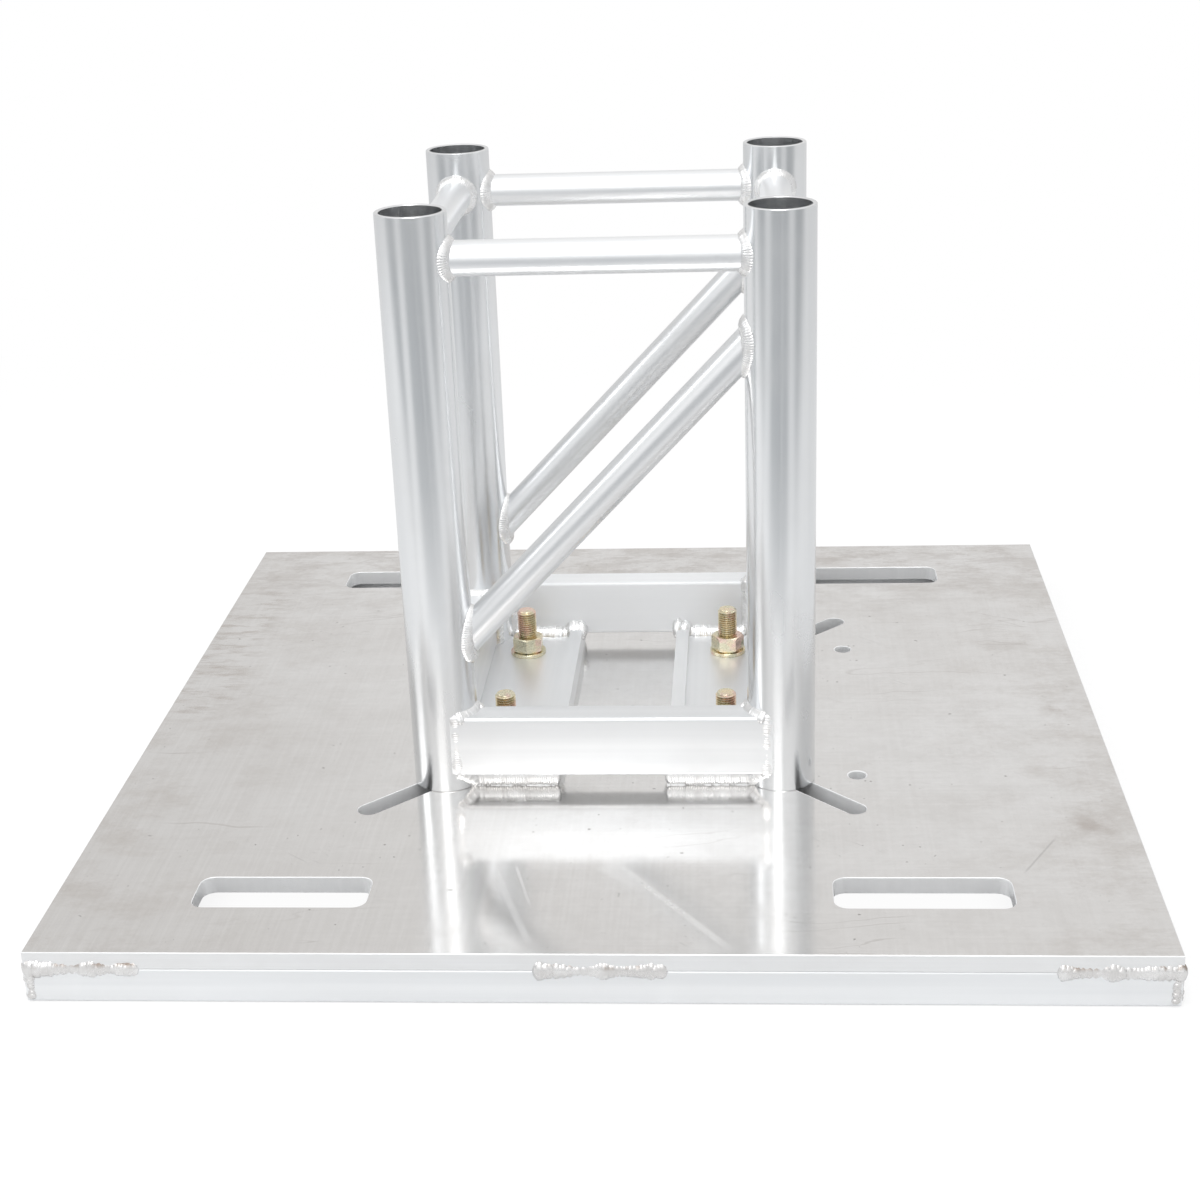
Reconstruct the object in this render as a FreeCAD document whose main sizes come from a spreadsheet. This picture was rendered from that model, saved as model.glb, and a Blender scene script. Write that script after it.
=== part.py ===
import FreeCAD, Part

import math
import os
import sys

import Sketcher
from FreeCAD import Placement, Rotation, Vector

# Truss base plate: a square aluminium plate on a mitred under-frame, with the
# lowest bay of a box truss bolted to its middle. Millimetres. The origin is on
# the floor below the middle of the plate, +Z up, +X right, +Y to the back.

SIZES = [
    ("plate_width", 762.0, "plate, left to right"),
    ("plate_depth", 762.0, "plate, front to back"),
    ("plate_thick", 12.7, "plate thickness"),
    ("under_tube_width", 50.8, "under-frame tube, width in plan"),
    ("under_tube_height", 25.4, "under-frame tube, height"),
    ("under_tube_wall", 3.2, "under-frame tube, wall"),
    ("under_tube_radius", 2.0, "under-frame tube, outer corner radius"),
    ("hand_slot_length", 122.0, "hand slot, left to right"),
    ("hand_slot_width", 41.5, "hand slot, front to back"),
    ("hand_slot_radius", 9.5, "hand slot, corner radius"),
    ("hand_slot_end_gap", 47.9, "hand slot's outer end to the side under-frame tube"),
    ("hand_slot_side_gap", 8.9, "hand slot's outer side to the front or rear tube"),
    ("truss_back_set", 4.0, "truss and bolt slots, centre behind the plate's centre"),
    ("chord_spacing", 256.0, "truss chords, centre to centre"),
    ("chord_diameter", 50.8, "chord, outside diameter"),
    ("chord_wall", 3.2, "chord wall"),
    ("chord_height", 438.0, "chord, length above the plate"),
    ("brace_diameter", 25.4, "brace, outside diameter"),
    ("brace_wall", 3.0, "brace wall"),
    ("cross_brace_drop", 34.0, "chord top down to the level braces' centre line"),
    ("diagonal_drop", 75.0, "chord top down to the slanted braces' upper end"),
    ("diagonal_foot", 95.3, "plate up to the slanted braces' lower end"),
    ("rail_thick", 25.4, "base rail, horizontal thickness"),
    ("rail_height", 48.0, "base rail, height"),
    ("rail_wall", 3.2, "base rail, wall"),
    ("rail_radius", 3.2, "base rail, outer corner radius"),
    ("rail_set_in", 1.0, "front and rear rails' outer face behind the chord's front"),
    ("foot_thick", 12.7, "foot plate thickness"),
    ("foot_gap", 82.6, "clear gap between the two feet"),
    ("foot_end_set_in", 10.1, "foot's end behind the rail's outer face"),
    ("lip_width", 10.8, "raised lip on the foot, width"),
    ("lip_rise", 6.35, "raised lip, height above the foot"),
    ("bolt_pitch", 172.0, "bolts, centre to centre"),
    ("bolt_diameter", 16.0, "bolt shank"),
    ("bolt_length", 65.0, "bolt, below its head"),
    ("bolt_tip", 1.5, "bolt, chamfer at its tip"),
    ("bolt_head_height", 10.0, "bolt head height"),
    ("hex_width", 24.0, "bolt head and nut, across the flats"),
    ("nut_height", 13.0, "nut height"),
    ("thread_play", 0.2, "nut bore over the bolt"),
    ("washer_diameter", 30.0, "washer, outside diameter"),
    ("washer_thick", 3.0, "washer thickness"),
    ("washer_play", 1.0, "washer bore over the bolt"),
    ("bolt_play", 1.5, "bolt slot and foot hole over the bolt"),
    ("slot_tip_reach", 53.0, "bolt slot's tip centre outside the chord's centre"),
    ("slot_root_reach", 7.0, "bolt slot's inner centre inside the bolt"),
    ("side_hole_diameter", 13.5, "side holes in the plate"),
    ("side_hole_reach", 57.7, "side holes, to the right of the chord's centre"),
    ("side_hole_spacing", 244.0, "side holes, centre to centre"),
    ("side_hole_chamfer", 1.0, "side holes, chamfer"),
    ("brace_bead", 6.0, "weld leg round a brace"),
    ("rail_bead", 6.5, "weld radius on a rail's inner side and top"),
    ("rail_cap_bead", 7.5, "weld radius on the outer side of a front or rear rail"),
    ("rail_cap_rise", 2.4, "height of that weld above the rail's face"),
    ("rail_cap_reach", 11.0, "that weld's middle inside the chord's centre"),
    ("foot_bead", 8.0, "weld radius between foot and rail, inside"),
    ("foot_end_bead", 12.3, "weld radius below the front and rear rails"),
    ("lip_blob", 8.0, "radius of the weld blob at a lip's end"),
    ("weld_gap", 0.4, "clear gap kept between separate welds"),
    ("corner_bead", 5.0, "upright weld at a mitred corner, radius"),
    ("stitch_bead", 8.0, "stitch weld, radius"),
    ("weld_rise", 2.5, "stitch and corner welds, height above the tube's face"),
    ("end_stitch", 66.0, "stitch weld at a corner, length"),
    ("middle_stitch", 80.0, "stitch weld at the middle of a side, length"),
]

doc = FreeCAD.newDocument("truss_base_plate")
sheet = doc.addObject("Spreadsheet::Sheet", "sizes")


class Length:
    """A length that carries both its number and the sheet formula behind it."""

    def __init__(self, number, formula):
        self.number = number
        self.formula = formula

    def __add__(self, other):
        other = as_length(other)
        return Length(self.number + other.number, f"({self.formula} + {other.formula})")

    def __sub__(self, other):
        other = as_length(other)
        return Length(self.number - other.number, f"({self.formula} - {other.formula})")

    def __mul__(self, factor):
        return Length(self.number * factor, f"({self.formula} * {factor:.9f})")

    def __truediv__(self, divisor):
        return self * (1.0 / divisor)

    def __neg__(self):
        return self * -1.0


def as_length(value):
    if isinstance(value, Length):
        return value
    return Length(float(value), f"{float(value):.9f}")


class Sizes:
    """The driving sizes by name, each tied to its cell in the sheet."""


size = Sizes()
for row, (alias, number, meaning) in enumerate(SIZES, start=1):
    sheet.set(f"A{row}", meaning)
    sheet.set(f"B{row}", str(number))
    sheet.setAlias(f"B{row}", alias)
    setattr(size, alias, Length(number, "sizes." + alias))
doc.recompute()

# Heights above the floor and places in plan that several pieces share.
plate_top = size.under_tube_height + size.plate_thick
foot_top = plate_top + size.foot_thick
rail_top = foot_top + size.rail_height
chord_top = plate_top + size.chord_height
chord_radius = size.chord_diameter / 2
chord_reach = size.chord_spacing / 2
brace_radius = size.brace_diameter / 2
rail_face = chord_reach + chord_radius - size.rail_set_in
rail_inner_face = rail_face - size.rail_thick
foot_end = rail_face - size.foot_end_set_in
foot_outer = chord_reach + size.rail_thick / 2
foot_inner = size.foot_gap / 2
lip_outer = foot_inner + size.lip_width

SIDES = ["front", "right", "rear", "left"]
CORNERS = [("front_left", -1, -1), ("front_right", 1, -1), ("rear_right", 1, 1), ("rear_left", -1, 1)]
nodes = []


def bind(item, **lengths):
    """Tie each named property of a feature to a length's formula."""
    for name, length in lengths.items():
        item.setExpression(name, as_length(length).formula)
    return item


def put(item, x, y, z, turn=Rotation()):
    """Place a feature at a corner or centre that follows the sheet."""
    spot = [as_length(value) for value in (x, y, z)]
    item.Placement = Placement(Vector(*(value.number for value in spot)), turn)
    for axis, value in zip("xyz", spot):
        item.setExpression("Placement.Base." + axis, value.formula)
    return item


def about_z(degrees):
    return Rotation(Vector(0, 0, 1), degrees)


def quarter_turn(x, y, quarter):
    """Turn a place in plan by that many quarter turns about the origin."""
    for _ in range(quarter):
        x, y = -as_length(y), as_length(x)
    return as_length(x), as_length(y)


def truss_place(x, y, quarter=0):
    """A place in plan measured from the middle of the truss."""
    x, y = quarter_turn(x, y, quarter)
    return x, y + size.truss_back_set


def cylinder(name, radius, height):
    return bind(doc.addObject("Part::Cylinder", name), Radius=radius, Height=height)


def cone(name, lower, upper, height):
    item = doc.addObject("Part::Cone", name)
    return bind(item, Radius1=lower, Radius2=upper, Height=height)


def block(name, length, width, height):
    return bind(doc.addObject("Part::Box", name), Length=length, Width=width, Height=height)


def fuse(name, items):
    item = doc.addObject("Part::MultiFuse", name)
    item.Shapes = items
    return item


def common(name, items):
    item = doc.addObject("Part::MultiCommon", name)
    item.Shapes = items
    return item


def cut(name, base, tool):
    item = doc.addObject("Part::Cut", name)
    item.Base = base
    item.Tool = tool
    return item


def group(name, items):
    item = doc.addObject("Part::Compound", name)
    item.Links = items
    return item


def keep(item, label):
    """Name a finished piece and list it for writing."""
    item.Label = label
    nodes.append(item)
    return item


def new_body(name):
    return doc.addObject("PartDesign::Body", name)


def new_sketch(body, name, plane):
    sketch = body.newObject("Sketcher::SketchObject", name)
    planes = [item for item in body.Origin.OriginFeatures if item.Role == plane + "_Plane"]
    sketch.AttachmentSupport = [(planes[0], "")]
    sketch.MapMode = "FlatFace"
    return sketch


def dimension(sketch, kind, where, length):
    """Add one dimension that follows the sheet."""
    length = as_length(length)
    index = sketch.addConstraint(Sketcher.Constraint(kind, *where, length.number))
    sketch.setExpression(f"Constraints[{index}]", length.formula)


def fix_point(sketch, curve, point, x, y):
    dimension(sketch, "DistanceX", (-1, 1, curve, point), x)
    dimension(sketch, "DistanceY", (-1, 1, curve, point), y)


def sketch_outline(sketch, corners):
    """Closed outline through corners given as pairs of lengths."""
    spots = [Vector(as_length(x).number, as_length(y).number, 0) for x, y in corners]
    lines = [Part.LineSegment(a, b) for a, b in zip(spots, spots[1:] + spots[:1])]
    ids = sketch.addGeometry(lines, False)
    for line, following in zip(ids, ids[1:] + ids[:1]):
        sketch.addConstraint(Sketcher.Constraint("Coincident", line, 2, following, 1))
    for line, (x, y) in zip(ids, corners):
        fix_point(sketch, line, 1, x, y)


def arc(x, y, radius, start, end):
    circle = Part.Circle(Vector(x, y, 0), Vector(0, 0, 1), radius)
    return Part.ArcOfCircle(circle, math.radians(start), math.radians(end))


def sketch_rounded_rectangle(sketch, centre_x, centre_y, wide, high, radius):
    centre_x, centre_y, radius = as_length(centre_x), as_length(centre_y), as_length(radius)
    left, right = centre_x - wide / 2, centre_x + wide / 2
    low, top = centre_y - high / 2, centre_y + high / 2
    x0, x1, y0, y1, round_off = left.number, right.number, low.number, top.number, radius.number
    curves = [
        Part.LineSegment(Vector(x0 + round_off, y0, 0), Vector(x1 - round_off, y0, 0)),
        arc(x1 - round_off, y0 + round_off, round_off, 270, 360),
        Part.LineSegment(Vector(x1, y0 + round_off, 0), Vector(x1, y1 - round_off, 0)),
        arc(x1 - round_off, y1 - round_off, round_off, 0, 90),
        Part.LineSegment(Vector(x1 - round_off, y1, 0), Vector(x0 + round_off, y1, 0)),
        arc(x0 + round_off, y1 - round_off, round_off, 90, 180),
        Part.LineSegment(Vector(x0, y1 - round_off, 0), Vector(x0, y0 + round_off, 0)),
        arc(x0 + round_off, y0 + round_off, round_off, 180, 270),
    ]
    ids = sketch.addGeometry(curves, False)
    for curve, following in zip(ids, ids[1:] + ids[:1]):
        sketch.addConstraint(Sketcher.Constraint("Tangent", curve, 2, following, 1))
    for line in ids[0::4]:
        sketch.addConstraint(Sketcher.Constraint("Horizontal", line))
    for line in ids[2::4]:
        sketch.addConstraint(Sketcher.Constraint("Vertical", line))
    for corner in ids[3::2]:
        sketch.addConstraint(Sketcher.Constraint("Equal", ids[1], corner))
    dimension(sketch, "Radius", (ids[1],), radius)
    dimension(sketch, "DistanceY", (-1, 1, ids[0], 1), low)
    dimension(sketch, "DistanceX", (-1, 1, ids[2], 1), right)
    dimension(sketch, "DistanceY", (-1, 1, ids[4], 1), top)
    dimension(sketch, "DistanceX", (-1, 1, ids[6], 1), left)


def sketch_slot(sketch, inner, outer, radius):
    """Straight slot with round ends, from one arc's centre to the other's."""
    x0, y0 = (as_length(value) for value in inner)
    x1, y1 = (as_length(value) for value in outer)
    radius = as_length(radius)
    heading = math.degrees(math.atan2(y1.number - y0.number, x1.number - x0.number))
    side = Rotation(Vector(0, 0, 1), heading).multVec(Vector(0, radius.number, 0))
    start, end = Vector(x0.number, y0.number, 0), Vector(x1.number, y1.number, 0)
    curves = [
        Part.LineSegment(start - side, end - side),
        arc(end.x, end.y, radius.number, heading - 90, heading + 90),
        Part.LineSegment(end + side, start + side),
        arc(start.x, start.y, radius.number, heading + 90, heading + 270),
    ]
    ids = sketch.addGeometry(curves, False)
    for curve, following in zip(ids, ids[1:] + ids[:1]):
        sketch.addConstraint(Sketcher.Constraint("Tangent", curve, 2, following, 1))
    sketch.addConstraint(Sketcher.Constraint("Equal", ids[1], ids[3]))
    dimension(sketch, "Radius", (ids[1],), radius)
    fix_point(sketch, ids[3], 3, x0, y0)
    fix_point(sketch, ids[1], 3, x1, y1)


def sketch_circle(sketch, x, y, radius):
    x, y, radius = as_length(x), as_length(y), as_length(radius)
    circle = Part.Circle(Vector(x.number, y.number, 0), Vector(0, 0, 1), radius.number)
    index = sketch.addGeometry(circle, False)
    dimension(sketch, "Radius", (index,), radius)
    fix_point(sketch, index, 3, x, y)


def pad(body, sketch, name, length, both_ways=False):
    item = body.newObject("PartDesign::Pad", name)
    item.Profile = sketch
    item.SideType = "Symmetric" if both_ways else "One side"
    return bind(item, Length=length)


def pocket_through(body, sketch, name):
    item = body.newObject("PartDesign::Pocket", name)
    item.Profile = sketch
    item.Type = "ThroughAll"
    item.SideType = "Symmetric"
    return item


# The plate. Its hand slots stand off the under-frame, its bolt slots run out
# on the diagonals from under the truss, and two holes sit beside it.
def hand_slot_centre(x_side, y_side):
    x = size.plate_width / 2 - size.under_tube_width - size.hand_slot_end_gap - size.hand_slot_length / 2
    y = size.plate_depth / 2 - size.under_tube_width - size.hand_slot_side_gap - size.hand_slot_width / 2
    return x * x_side, y * y_side


def make_base_plate():
    body = new_body("base_plate_body")
    put(body, 0, 0, size.under_tube_height)
    outline = new_sketch(body, "plate_outline", "XY")
    half_x, half_y = size.plate_width / 2, size.plate_depth / 2
    sketch_outline(outline, [(-half_x, -half_y), (half_x, -half_y), (half_x, half_y), (-half_x, half_y)])
    pad(body, outline, "plate_pad", size.plate_thick)

    hand_slots = new_sketch(body, "hand_slots", "XY")
    for _, x_side, y_side in CORNERS:
        x, y = hand_slot_centre(x_side, y_side)
        sketch_rounded_rectangle(
            hand_slots, x, y, size.hand_slot_length, size.hand_slot_width, size.hand_slot_radius)
    pocket_through(body, hand_slots, "hand_slot_pocket")

    bolt_slots = new_sketch(body, "bolt_slots", "XY")
    root = size.bolt_pitch / 2 - size.slot_root_reach
    tip = chord_reach + size.slot_tip_reach
    for _, x_side, y_side in CORNERS:
        inner = truss_place(root * x_side, root * y_side)
        outer = truss_place(tip * x_side, tip * y_side)
        sketch_slot(bolt_slots, inner, outer, (size.bolt_diameter + size.bolt_play) / 2)
    pocket_through(body, bolt_slots, "bolt_slot_pocket")

    side_holes = new_sketch(body, "side_holes", "XY")
    reach = chord_reach + size.side_hole_reach
    for y_side in (-1, 1):
        sketch_circle(side_holes, reach, size.side_hole_spacing / 2 * y_side, size.side_hole_diameter / 2)
    pocket = pocket_through(body, side_holes, "side_hole_pocket")
    doc.recompute()

    rims = []
    for index, edge in enumerate(pocket.Shape.Edges, start=1):
        on_top = abs(edge.BoundBox.ZMin - size.plate_thick.number) < 0.001
        small = abs(edge.Length - math.pi * size.side_hole_diameter.number) < 0.01
        if on_top and small:
            rims.append(f"Edge{index}")
    chamfer = body.newObject("PartDesign::Chamfer", "side_hole_chamfers")
    chamfer.Base = (pocket, rims)
    bind(chamfer, Size=size.side_hole_chamfer)
    body.Tip = chamfer
    keep(body, "base_plate")


# A straight tube of rounded rectangular section about the body's own X axis.
def rounded_bar(name, length, wide, high, radius):
    body = new_body(name)
    section = new_sketch(body, name + "_section", "YZ")
    sketch_rounded_rectangle(section, 0, 0, wide, high, radius)
    pad(body, section, name + "_pad", length, both_ways=True)
    return body


def bore_block(name, length, wide, high, centre, height, quarter, place):
    """The straight hollow of a tube, centred like the tube itself."""
    x, y = place(-length / 2, centre - wide / 2, quarter)
    return put(block(name, length, wide, high), x, y, height, about_z(90 * quarter))


# The under-frame: four tubes flush with the plate's edges and mitred at 45
# degrees where they meet, so each corner is one slanted seam.
def mitre_block(name, end, half_length, edge, quarter):
    """Everything beyond the slanted end of a tube, at its right or left end."""
    overshoot = size.under_tube_width / math.sqrt(2)
    along = size.under_tube_width * math.sqrt(2) + overshoot * 2
    across = size.under_tube_width * 2
    back = size.under_tube_width / 2
    x, y = quarter_turn((half_length + back) * end, edge - back, quarter)
    wide, deep = (across, along) if end > 0 else (along, across)
    item = block(name, wide, deep, size.under_tube_height)
    return put(item, x, y, 0, about_z(90 * quarter + 45))


def make_under_frame():
    envelopes = []
    for quarter, side in enumerate(SIDES):
        sideways = quarter % 2 == 1
        length = size.plate_depth if sideways else size.plate_width
        edge = -(size.plate_width if sideways else size.plate_depth) / 2
        name = "under_" + side
        centre = edge + size.under_tube_width / 2
        outer = rounded_bar(
            name + "_tube", length, size.under_tube_width, size.under_tube_height, size.under_tube_radius)
        x, y = quarter_turn(0, centre, quarter)
        put(outer, x, y, size.under_tube_height / 2, about_z(90 * quarter))
        bore = bore_block(
            name + "_bore", length, size.under_tube_width - size.under_tube_wall * 2,
            size.under_tube_height - size.under_tube_wall * 2, centre, size.under_tube_wall,
            quarter, quarter_turn)
        beyond = fuse(name + "_beyond", [
            mitre_block(name + "_right_mitre", 1, length / 2, edge, quarter),
            mitre_block(name + "_left_mitre", -1, length / 2, edge, quarter)])
        envelope = cut(name + "_envelope", outer, beyond)
        envelopes.append(envelope)
        keep(cut(name + "_rail", envelope, bore), "under_rail_" + side)
    return fuse("under_frame_envelope", envelopes)


# Stitch welds lie in the seam below the plate, at both ends and the middle of
# each side, and a short upright weld closes each mitred corner.
def make_under_rail_welds(under_envelope):
    beads = []
    sink = size.stitch_bead - size.weld_rise
    corner_sink = size.corner_bead - size.weld_rise
    clear_of_corner = size.corner_bead + corner_sink + size.weld_gap
    for quarter, side in enumerate(SIDES):
        sideways = quarter % 2 == 1
        half = (size.plate_depth if sideways else size.plate_width) / 2
        edge = -(size.plate_width if sideways else size.plate_depth) / 2
        runs = [(-half + clear_of_corner, size.end_stitch), (-size.middle_stitch / 2, size.middle_stitch),
                (half - clear_of_corner - size.end_stitch, size.end_stitch)]
        for index, (start, length) in enumerate(runs):
            bead = cylinder(f"stitch_{side}_{index}", size.stitch_bead, length)
            x, y = quarter_turn(start, edge + sink, quarter)
            lie = about_z(90 * quarter).multiply(Rotation(Vector(0, 1, 0), 90))
            beads.append(put(bead, x, y, size.under_tube_height, lie))
        corner = cylinder(f"corner_weld_{side}", size.corner_bead, size.under_tube_height)
        x, y = quarter_turn(half - corner_sink, edge + corner_sink, quarter)
        beads.append(put(corner, x, y, 0))
    metal = fuse("plate_and_under_frame", [doc.getObject("base_plate_body"), under_envelope])
    keep(cut("under_weld_runs", fuse("under_weld_rods", beads), metal), "under_rail_welds")


# The four chords: plain tubes that stand on the plate, cut square at the top.
def make_chords():
    envelopes = []
    for corner, x_side, y_side in CORNERS:
        x, y = truss_place(chord_reach * x_side, chord_reach * y_side)
        outer = put(cylinder(f"chord_{corner}_solid", chord_radius, size.chord_height), x, y, plate_top)
        bore_radius = chord_radius - size.chord_wall
        bore = put(cylinder(f"chord_{corner}_bore", bore_radius, size.chord_height), x, y, plate_top)
        envelopes.append(outer)
        keep(cut(f"chord_{corner}_tube", outer, bore), "chord_" + corner)
    return fuse("chord_envelope", envelopes)


# The base rails: upright rectangular tubes coped round the chords. The front
# and rear ones sit outside the chords' centre lines, the side ones on them.
def rail_centre(quarter):
    if quarter % 2 == 1:
        return -chord_reach
    return -(rail_face - size.rail_thick / 2)


def make_base_rails(chords):
    envelopes = []
    for quarter, side in enumerate(SIDES):
        name = "base_" + side
        centre = rail_centre(quarter)
        outer = rounded_bar(
            name + "_tube", size.chord_spacing, size.rail_thick, size.rail_height, size.rail_radius)
        x, y = truss_place(0, centre, quarter)
        put(outer, x, y, foot_top + size.rail_height / 2, about_z(90 * quarter))
        bore = bore_block(
            name + "_bore", size.chord_spacing, size.rail_thick - size.rail_wall * 2,
            size.rail_height - size.rail_wall * 2, centre, foot_top + size.rail_wall,
            quarter, truss_place)
        envelope = cut(name + "_coped", outer, chords)
        envelopes.append(envelope)
        keep(cut(name + "_rail", envelope, bore), "base_rail_" + side)
    return fuse("rail_envelope", envelopes)


# The feet: thick plates with a raised lip along the inner edge, bolted down
# through the plate's slots. Chords and rails cut into them where they meet.
def make_feet(chords, rails):
    feet = []
    for side, x_side in (("left", -1), ("right", 1)):
        body = new_body(f"foot_{side}_body")
        put(body, 0, size.truss_back_set, 0)
        section = new_sketch(body, f"foot_{side}_section", "XZ")
        corners = [(foot_inner, plate_top), (foot_outer, plate_top), (foot_outer, foot_top),
                   (lip_outer, foot_top), (lip_outer, foot_top + size.lip_rise),
                   (foot_inner, foot_top + size.lip_rise)]
        sketch_outline(section, [(x * x_side, z) for x, z in corners])
        pad(body, section, f"foot_{side}_pad", foot_end * 2, both_ways=True)
        holes = new_sketch(body, f"foot_{side}_holes", "XY")
        for y_side in (-1, 1):
            sketch_circle(holes, size.bolt_pitch / 2 * x_side, size.bolt_pitch / 2 * y_side,
                          (size.bolt_diameter + size.bolt_play) / 2)
        pocket_through(body, holes, f"foot_{side}_hole_pocket")
        above = fuse(f"foot_{side}_cutters", [chords, rails])
        feet.append(keep(cut(f"foot_{side}_plate", body, above), "foot_" + side))
    return feet


# Welds at the base rails' ends: a low cap on the outer side of the front and
# rear rails, round fillets on the other sides, and a sloped fillet on top.
def make_base_rail_welds(chords, rails):
    beads = []
    for quarter, side in enumerate(SIDES):
        centre = rail_centre(quarter)
        sideways = quarter % 2 == 1
        for end in (-1, 1):
            name = f"rail_weld_{side}_{'left' if end < 0 else 'right'}"
            spots = []
            if sideways:
                face_reach = math.sqrt(chord_radius.number ** 2 - (size.rail_thick.number / 2) ** 2)
                for face in (-1, 1):
                    spots.append((chord_reach - face_reach, centre + size.rail_thick / 2 * face,
                                  size.rail_bead))
            else:
                cap_y = -rail_face - size.rail_cap_rise + size.rail_cap_bead
                spots.append((chord_reach - size.rail_cap_reach, cap_y, size.rail_cap_bead))
                spots.append((chord_reach - chord_radius, -rail_inner_face, size.rail_bead))
            for index, (along, across, radius) in enumerate(spots):
                bead = cylinder(f"{name}_{index}", radius, size.rail_height)
                x, y = truss_place(along * end, across, quarter)
                beads.append(put(bead, x, y, foot_top))
            ring = cone(name + "_ring", chord_radius + size.rail_bead, chord_radius, size.rail_bead)
            x, y = truss_place(chord_reach * end, -chord_reach, quarter)
            put(ring, x, y, rail_top)
            over = block(name + "_over", size.chord_spacing / 2, size.rail_thick, size.rail_bead)
            start = as_length(0) if end > 0 else -size.chord_spacing / 2
            x, y = truss_place(start, centre - size.rail_thick / 2, quarter)
            put(over, x, y, rail_top, about_z(90 * quarter))
            beads.append(common(name + "_top", [ring, over]))
    metal = fuse("chords_and_rails", [chords, rails])
    return keep(cut("rail_weld_runs", fuse("rail_weld_rods", beads), metal), "base_rail_welds")


# Welds at the feet: a run along the inner side of each rail, a deeper one
# that fills the step below the rail, and a blob at each end of a lip.
def make_foot_welds(chords, rails, feet, rail_welds):
    beads = []
    inner_length = chord_reach - chord_radius - size.rail_bead - size.weld_gap - lip_outer
    outer_length = chord_reach - chord_radius - foot_inner
    along_x = Rotation(Vector(0, 1, 0), 90)
    for quarter in (0, 2):
        for end in (-1, 1):
            name = f"foot_weld_{SIDES[quarter]}_{'left' if end < 0 else 'right'}"
            turn = about_z(90 * quarter).multiply(along_x)
            inner_start = lip_outer if end > 0 else -(lip_outer + inner_length)
            outer_start = foot_inner if end > 0 else -(foot_inner + outer_length)
            inner = cylinder(name + "_inner", size.foot_bead, inner_length)
            x, y = truss_place(inner_start, -rail_inner_face, quarter)
            beads.append(put(inner, x, y, foot_top, turn))
            outer = cylinder(name + "_outer", size.foot_end_bead, outer_length)
            x, y = truss_place(outer_start, -rail_face + size.foot_end_bead, quarter)
            beads.append(put(outer, x, y, foot_top, turn))
            blob = bind(doc.addObject("Part::Sphere", name + "_blob"), Radius=size.lip_blob)
            x, y = truss_place((foot_inner + size.lip_width / 2) * end, -rail_inner_face, quarter)
            beads.append(put(blob, x, y, foot_top + size.lip_rise))
    metal = fuse("metal_round_feet", [chords, rails, rail_welds] + feet)
    keep(cut("foot_weld_runs", fuse("foot_weld_rods", beads), metal), "foot_welds")


# The braces: round tubes coped at both ends to the chords.
def brace_tube(name, chords, start, turn, length, lean=None):
    x, y, z = start
    parts = []
    for part, radius in (("solid", brace_radius), ("bore", brace_radius - size.brace_wall)):
        item = put(cylinder(f"{name}_{part}", radius, length), x, y, z, turn)
        if lean:
            item.setExpression("Placement.Rotation.Angle", lean)
        parts.append(item)
    tube = cut(name + "_tube", parts[0], parts[1])
    return cut(name + "_coped", tube, chords)


def make_cross_braces(chords):
    height = chord_top - size.cross_brace_drop
    for quarter, side in enumerate(SIDES):
        turn = about_z(90 * quarter).multiply(Rotation(Vector(0, 1, 0), 90))
        x, y = truss_place(-chord_reach, -chord_reach, quarter)
        brace = brace_tube("cross_" + side, chords, (x, y, height), turn, size.chord_spacing)
        keep(brace, "cross_brace_" + side)


def diagonal_ends():
    low = plate_top + size.diagonal_foot
    high = chord_top - size.diagonal_drop
    return low, high


def make_diagonal_braces(chords):
    low, high = diagonal_ends()
    run, rise = size.chord_spacing, high - low
    lean = math.degrees(math.atan2(run.number, rise.number))
    for side, y_side in (("front", -1), ("rear", 1)):
        x, y = truss_place(-chord_reach, chord_reach * y_side)
        length = Length(math.hypot(run.number, rise.number),
                        f"hypot({run.formula}; {rise.formula})")
        brace = brace_tube(
            "diagonal_" + side, chords, (x, y, low), Rotation(Vector(0, 1, 0), lean), length,
            f"atan({run.formula} / {rise.formula})")
        keep(brace, "diagonal_brace_" + side)


# A saddle weld: a fillet whose root follows the curve where a brace meets a
# chord. Each point of the root gets one toe on the chord and one on the brace,
# and three ruled bands through those curves close the ring.
ROOT_POINTS = 16
TOE_OVERSHOOT = 0.15
ROOT_DEPTH = 1.5


def saddle_section(centre, direction, angle):
    """Toe on the chord, toe on the brace and buried root at one angle."""
    ahead = Vector(direction.x, direction.y, 0)
    ahead.normalize()
    sideways = Vector(-ahead.y, ahead.x, 0)
    upward = direction.cross(sideways) * -1
    radial = sideways * math.cos(angle) + upward * math.sin(angle)
    reach, leg = chord_radius.number, size.brace_bead.number
    across = brace_radius.number * radial.dot(sideways)
    depth = math.sqrt(reach ** 2 - across ** 2)
    travel = (depth - brace_radius.number * radial.dot(ahead)) / direction.dot(ahead)
    root = centre + radial * brace_radius.number + direction * travel
    outward = (ahead * depth + sideways * across) * (1 / reach)
    tangent = sideways * (depth / reach) - ahead * (across / reach)
    around, along = radial.dot(tangent), radial.z
    scale = leg / math.hypot(around, along)
    swing = math.atan2(across, depth) + around * scale / reach
    chord_toe = centre + (ahead * math.cos(swing) + sideways * math.sin(swing)) * reach
    chord_toe.z = root.z + along * scale
    brace_toe = root + direction * leg
    slope = chord_toe - brace_toe
    buried = root - outward * ROOT_DEPTH - radial * ROOT_DEPTH
    return chord_toe + slope * TOE_OVERSHOOT, brace_toe - slope * TOE_OVERSHOOT, buried


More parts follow.
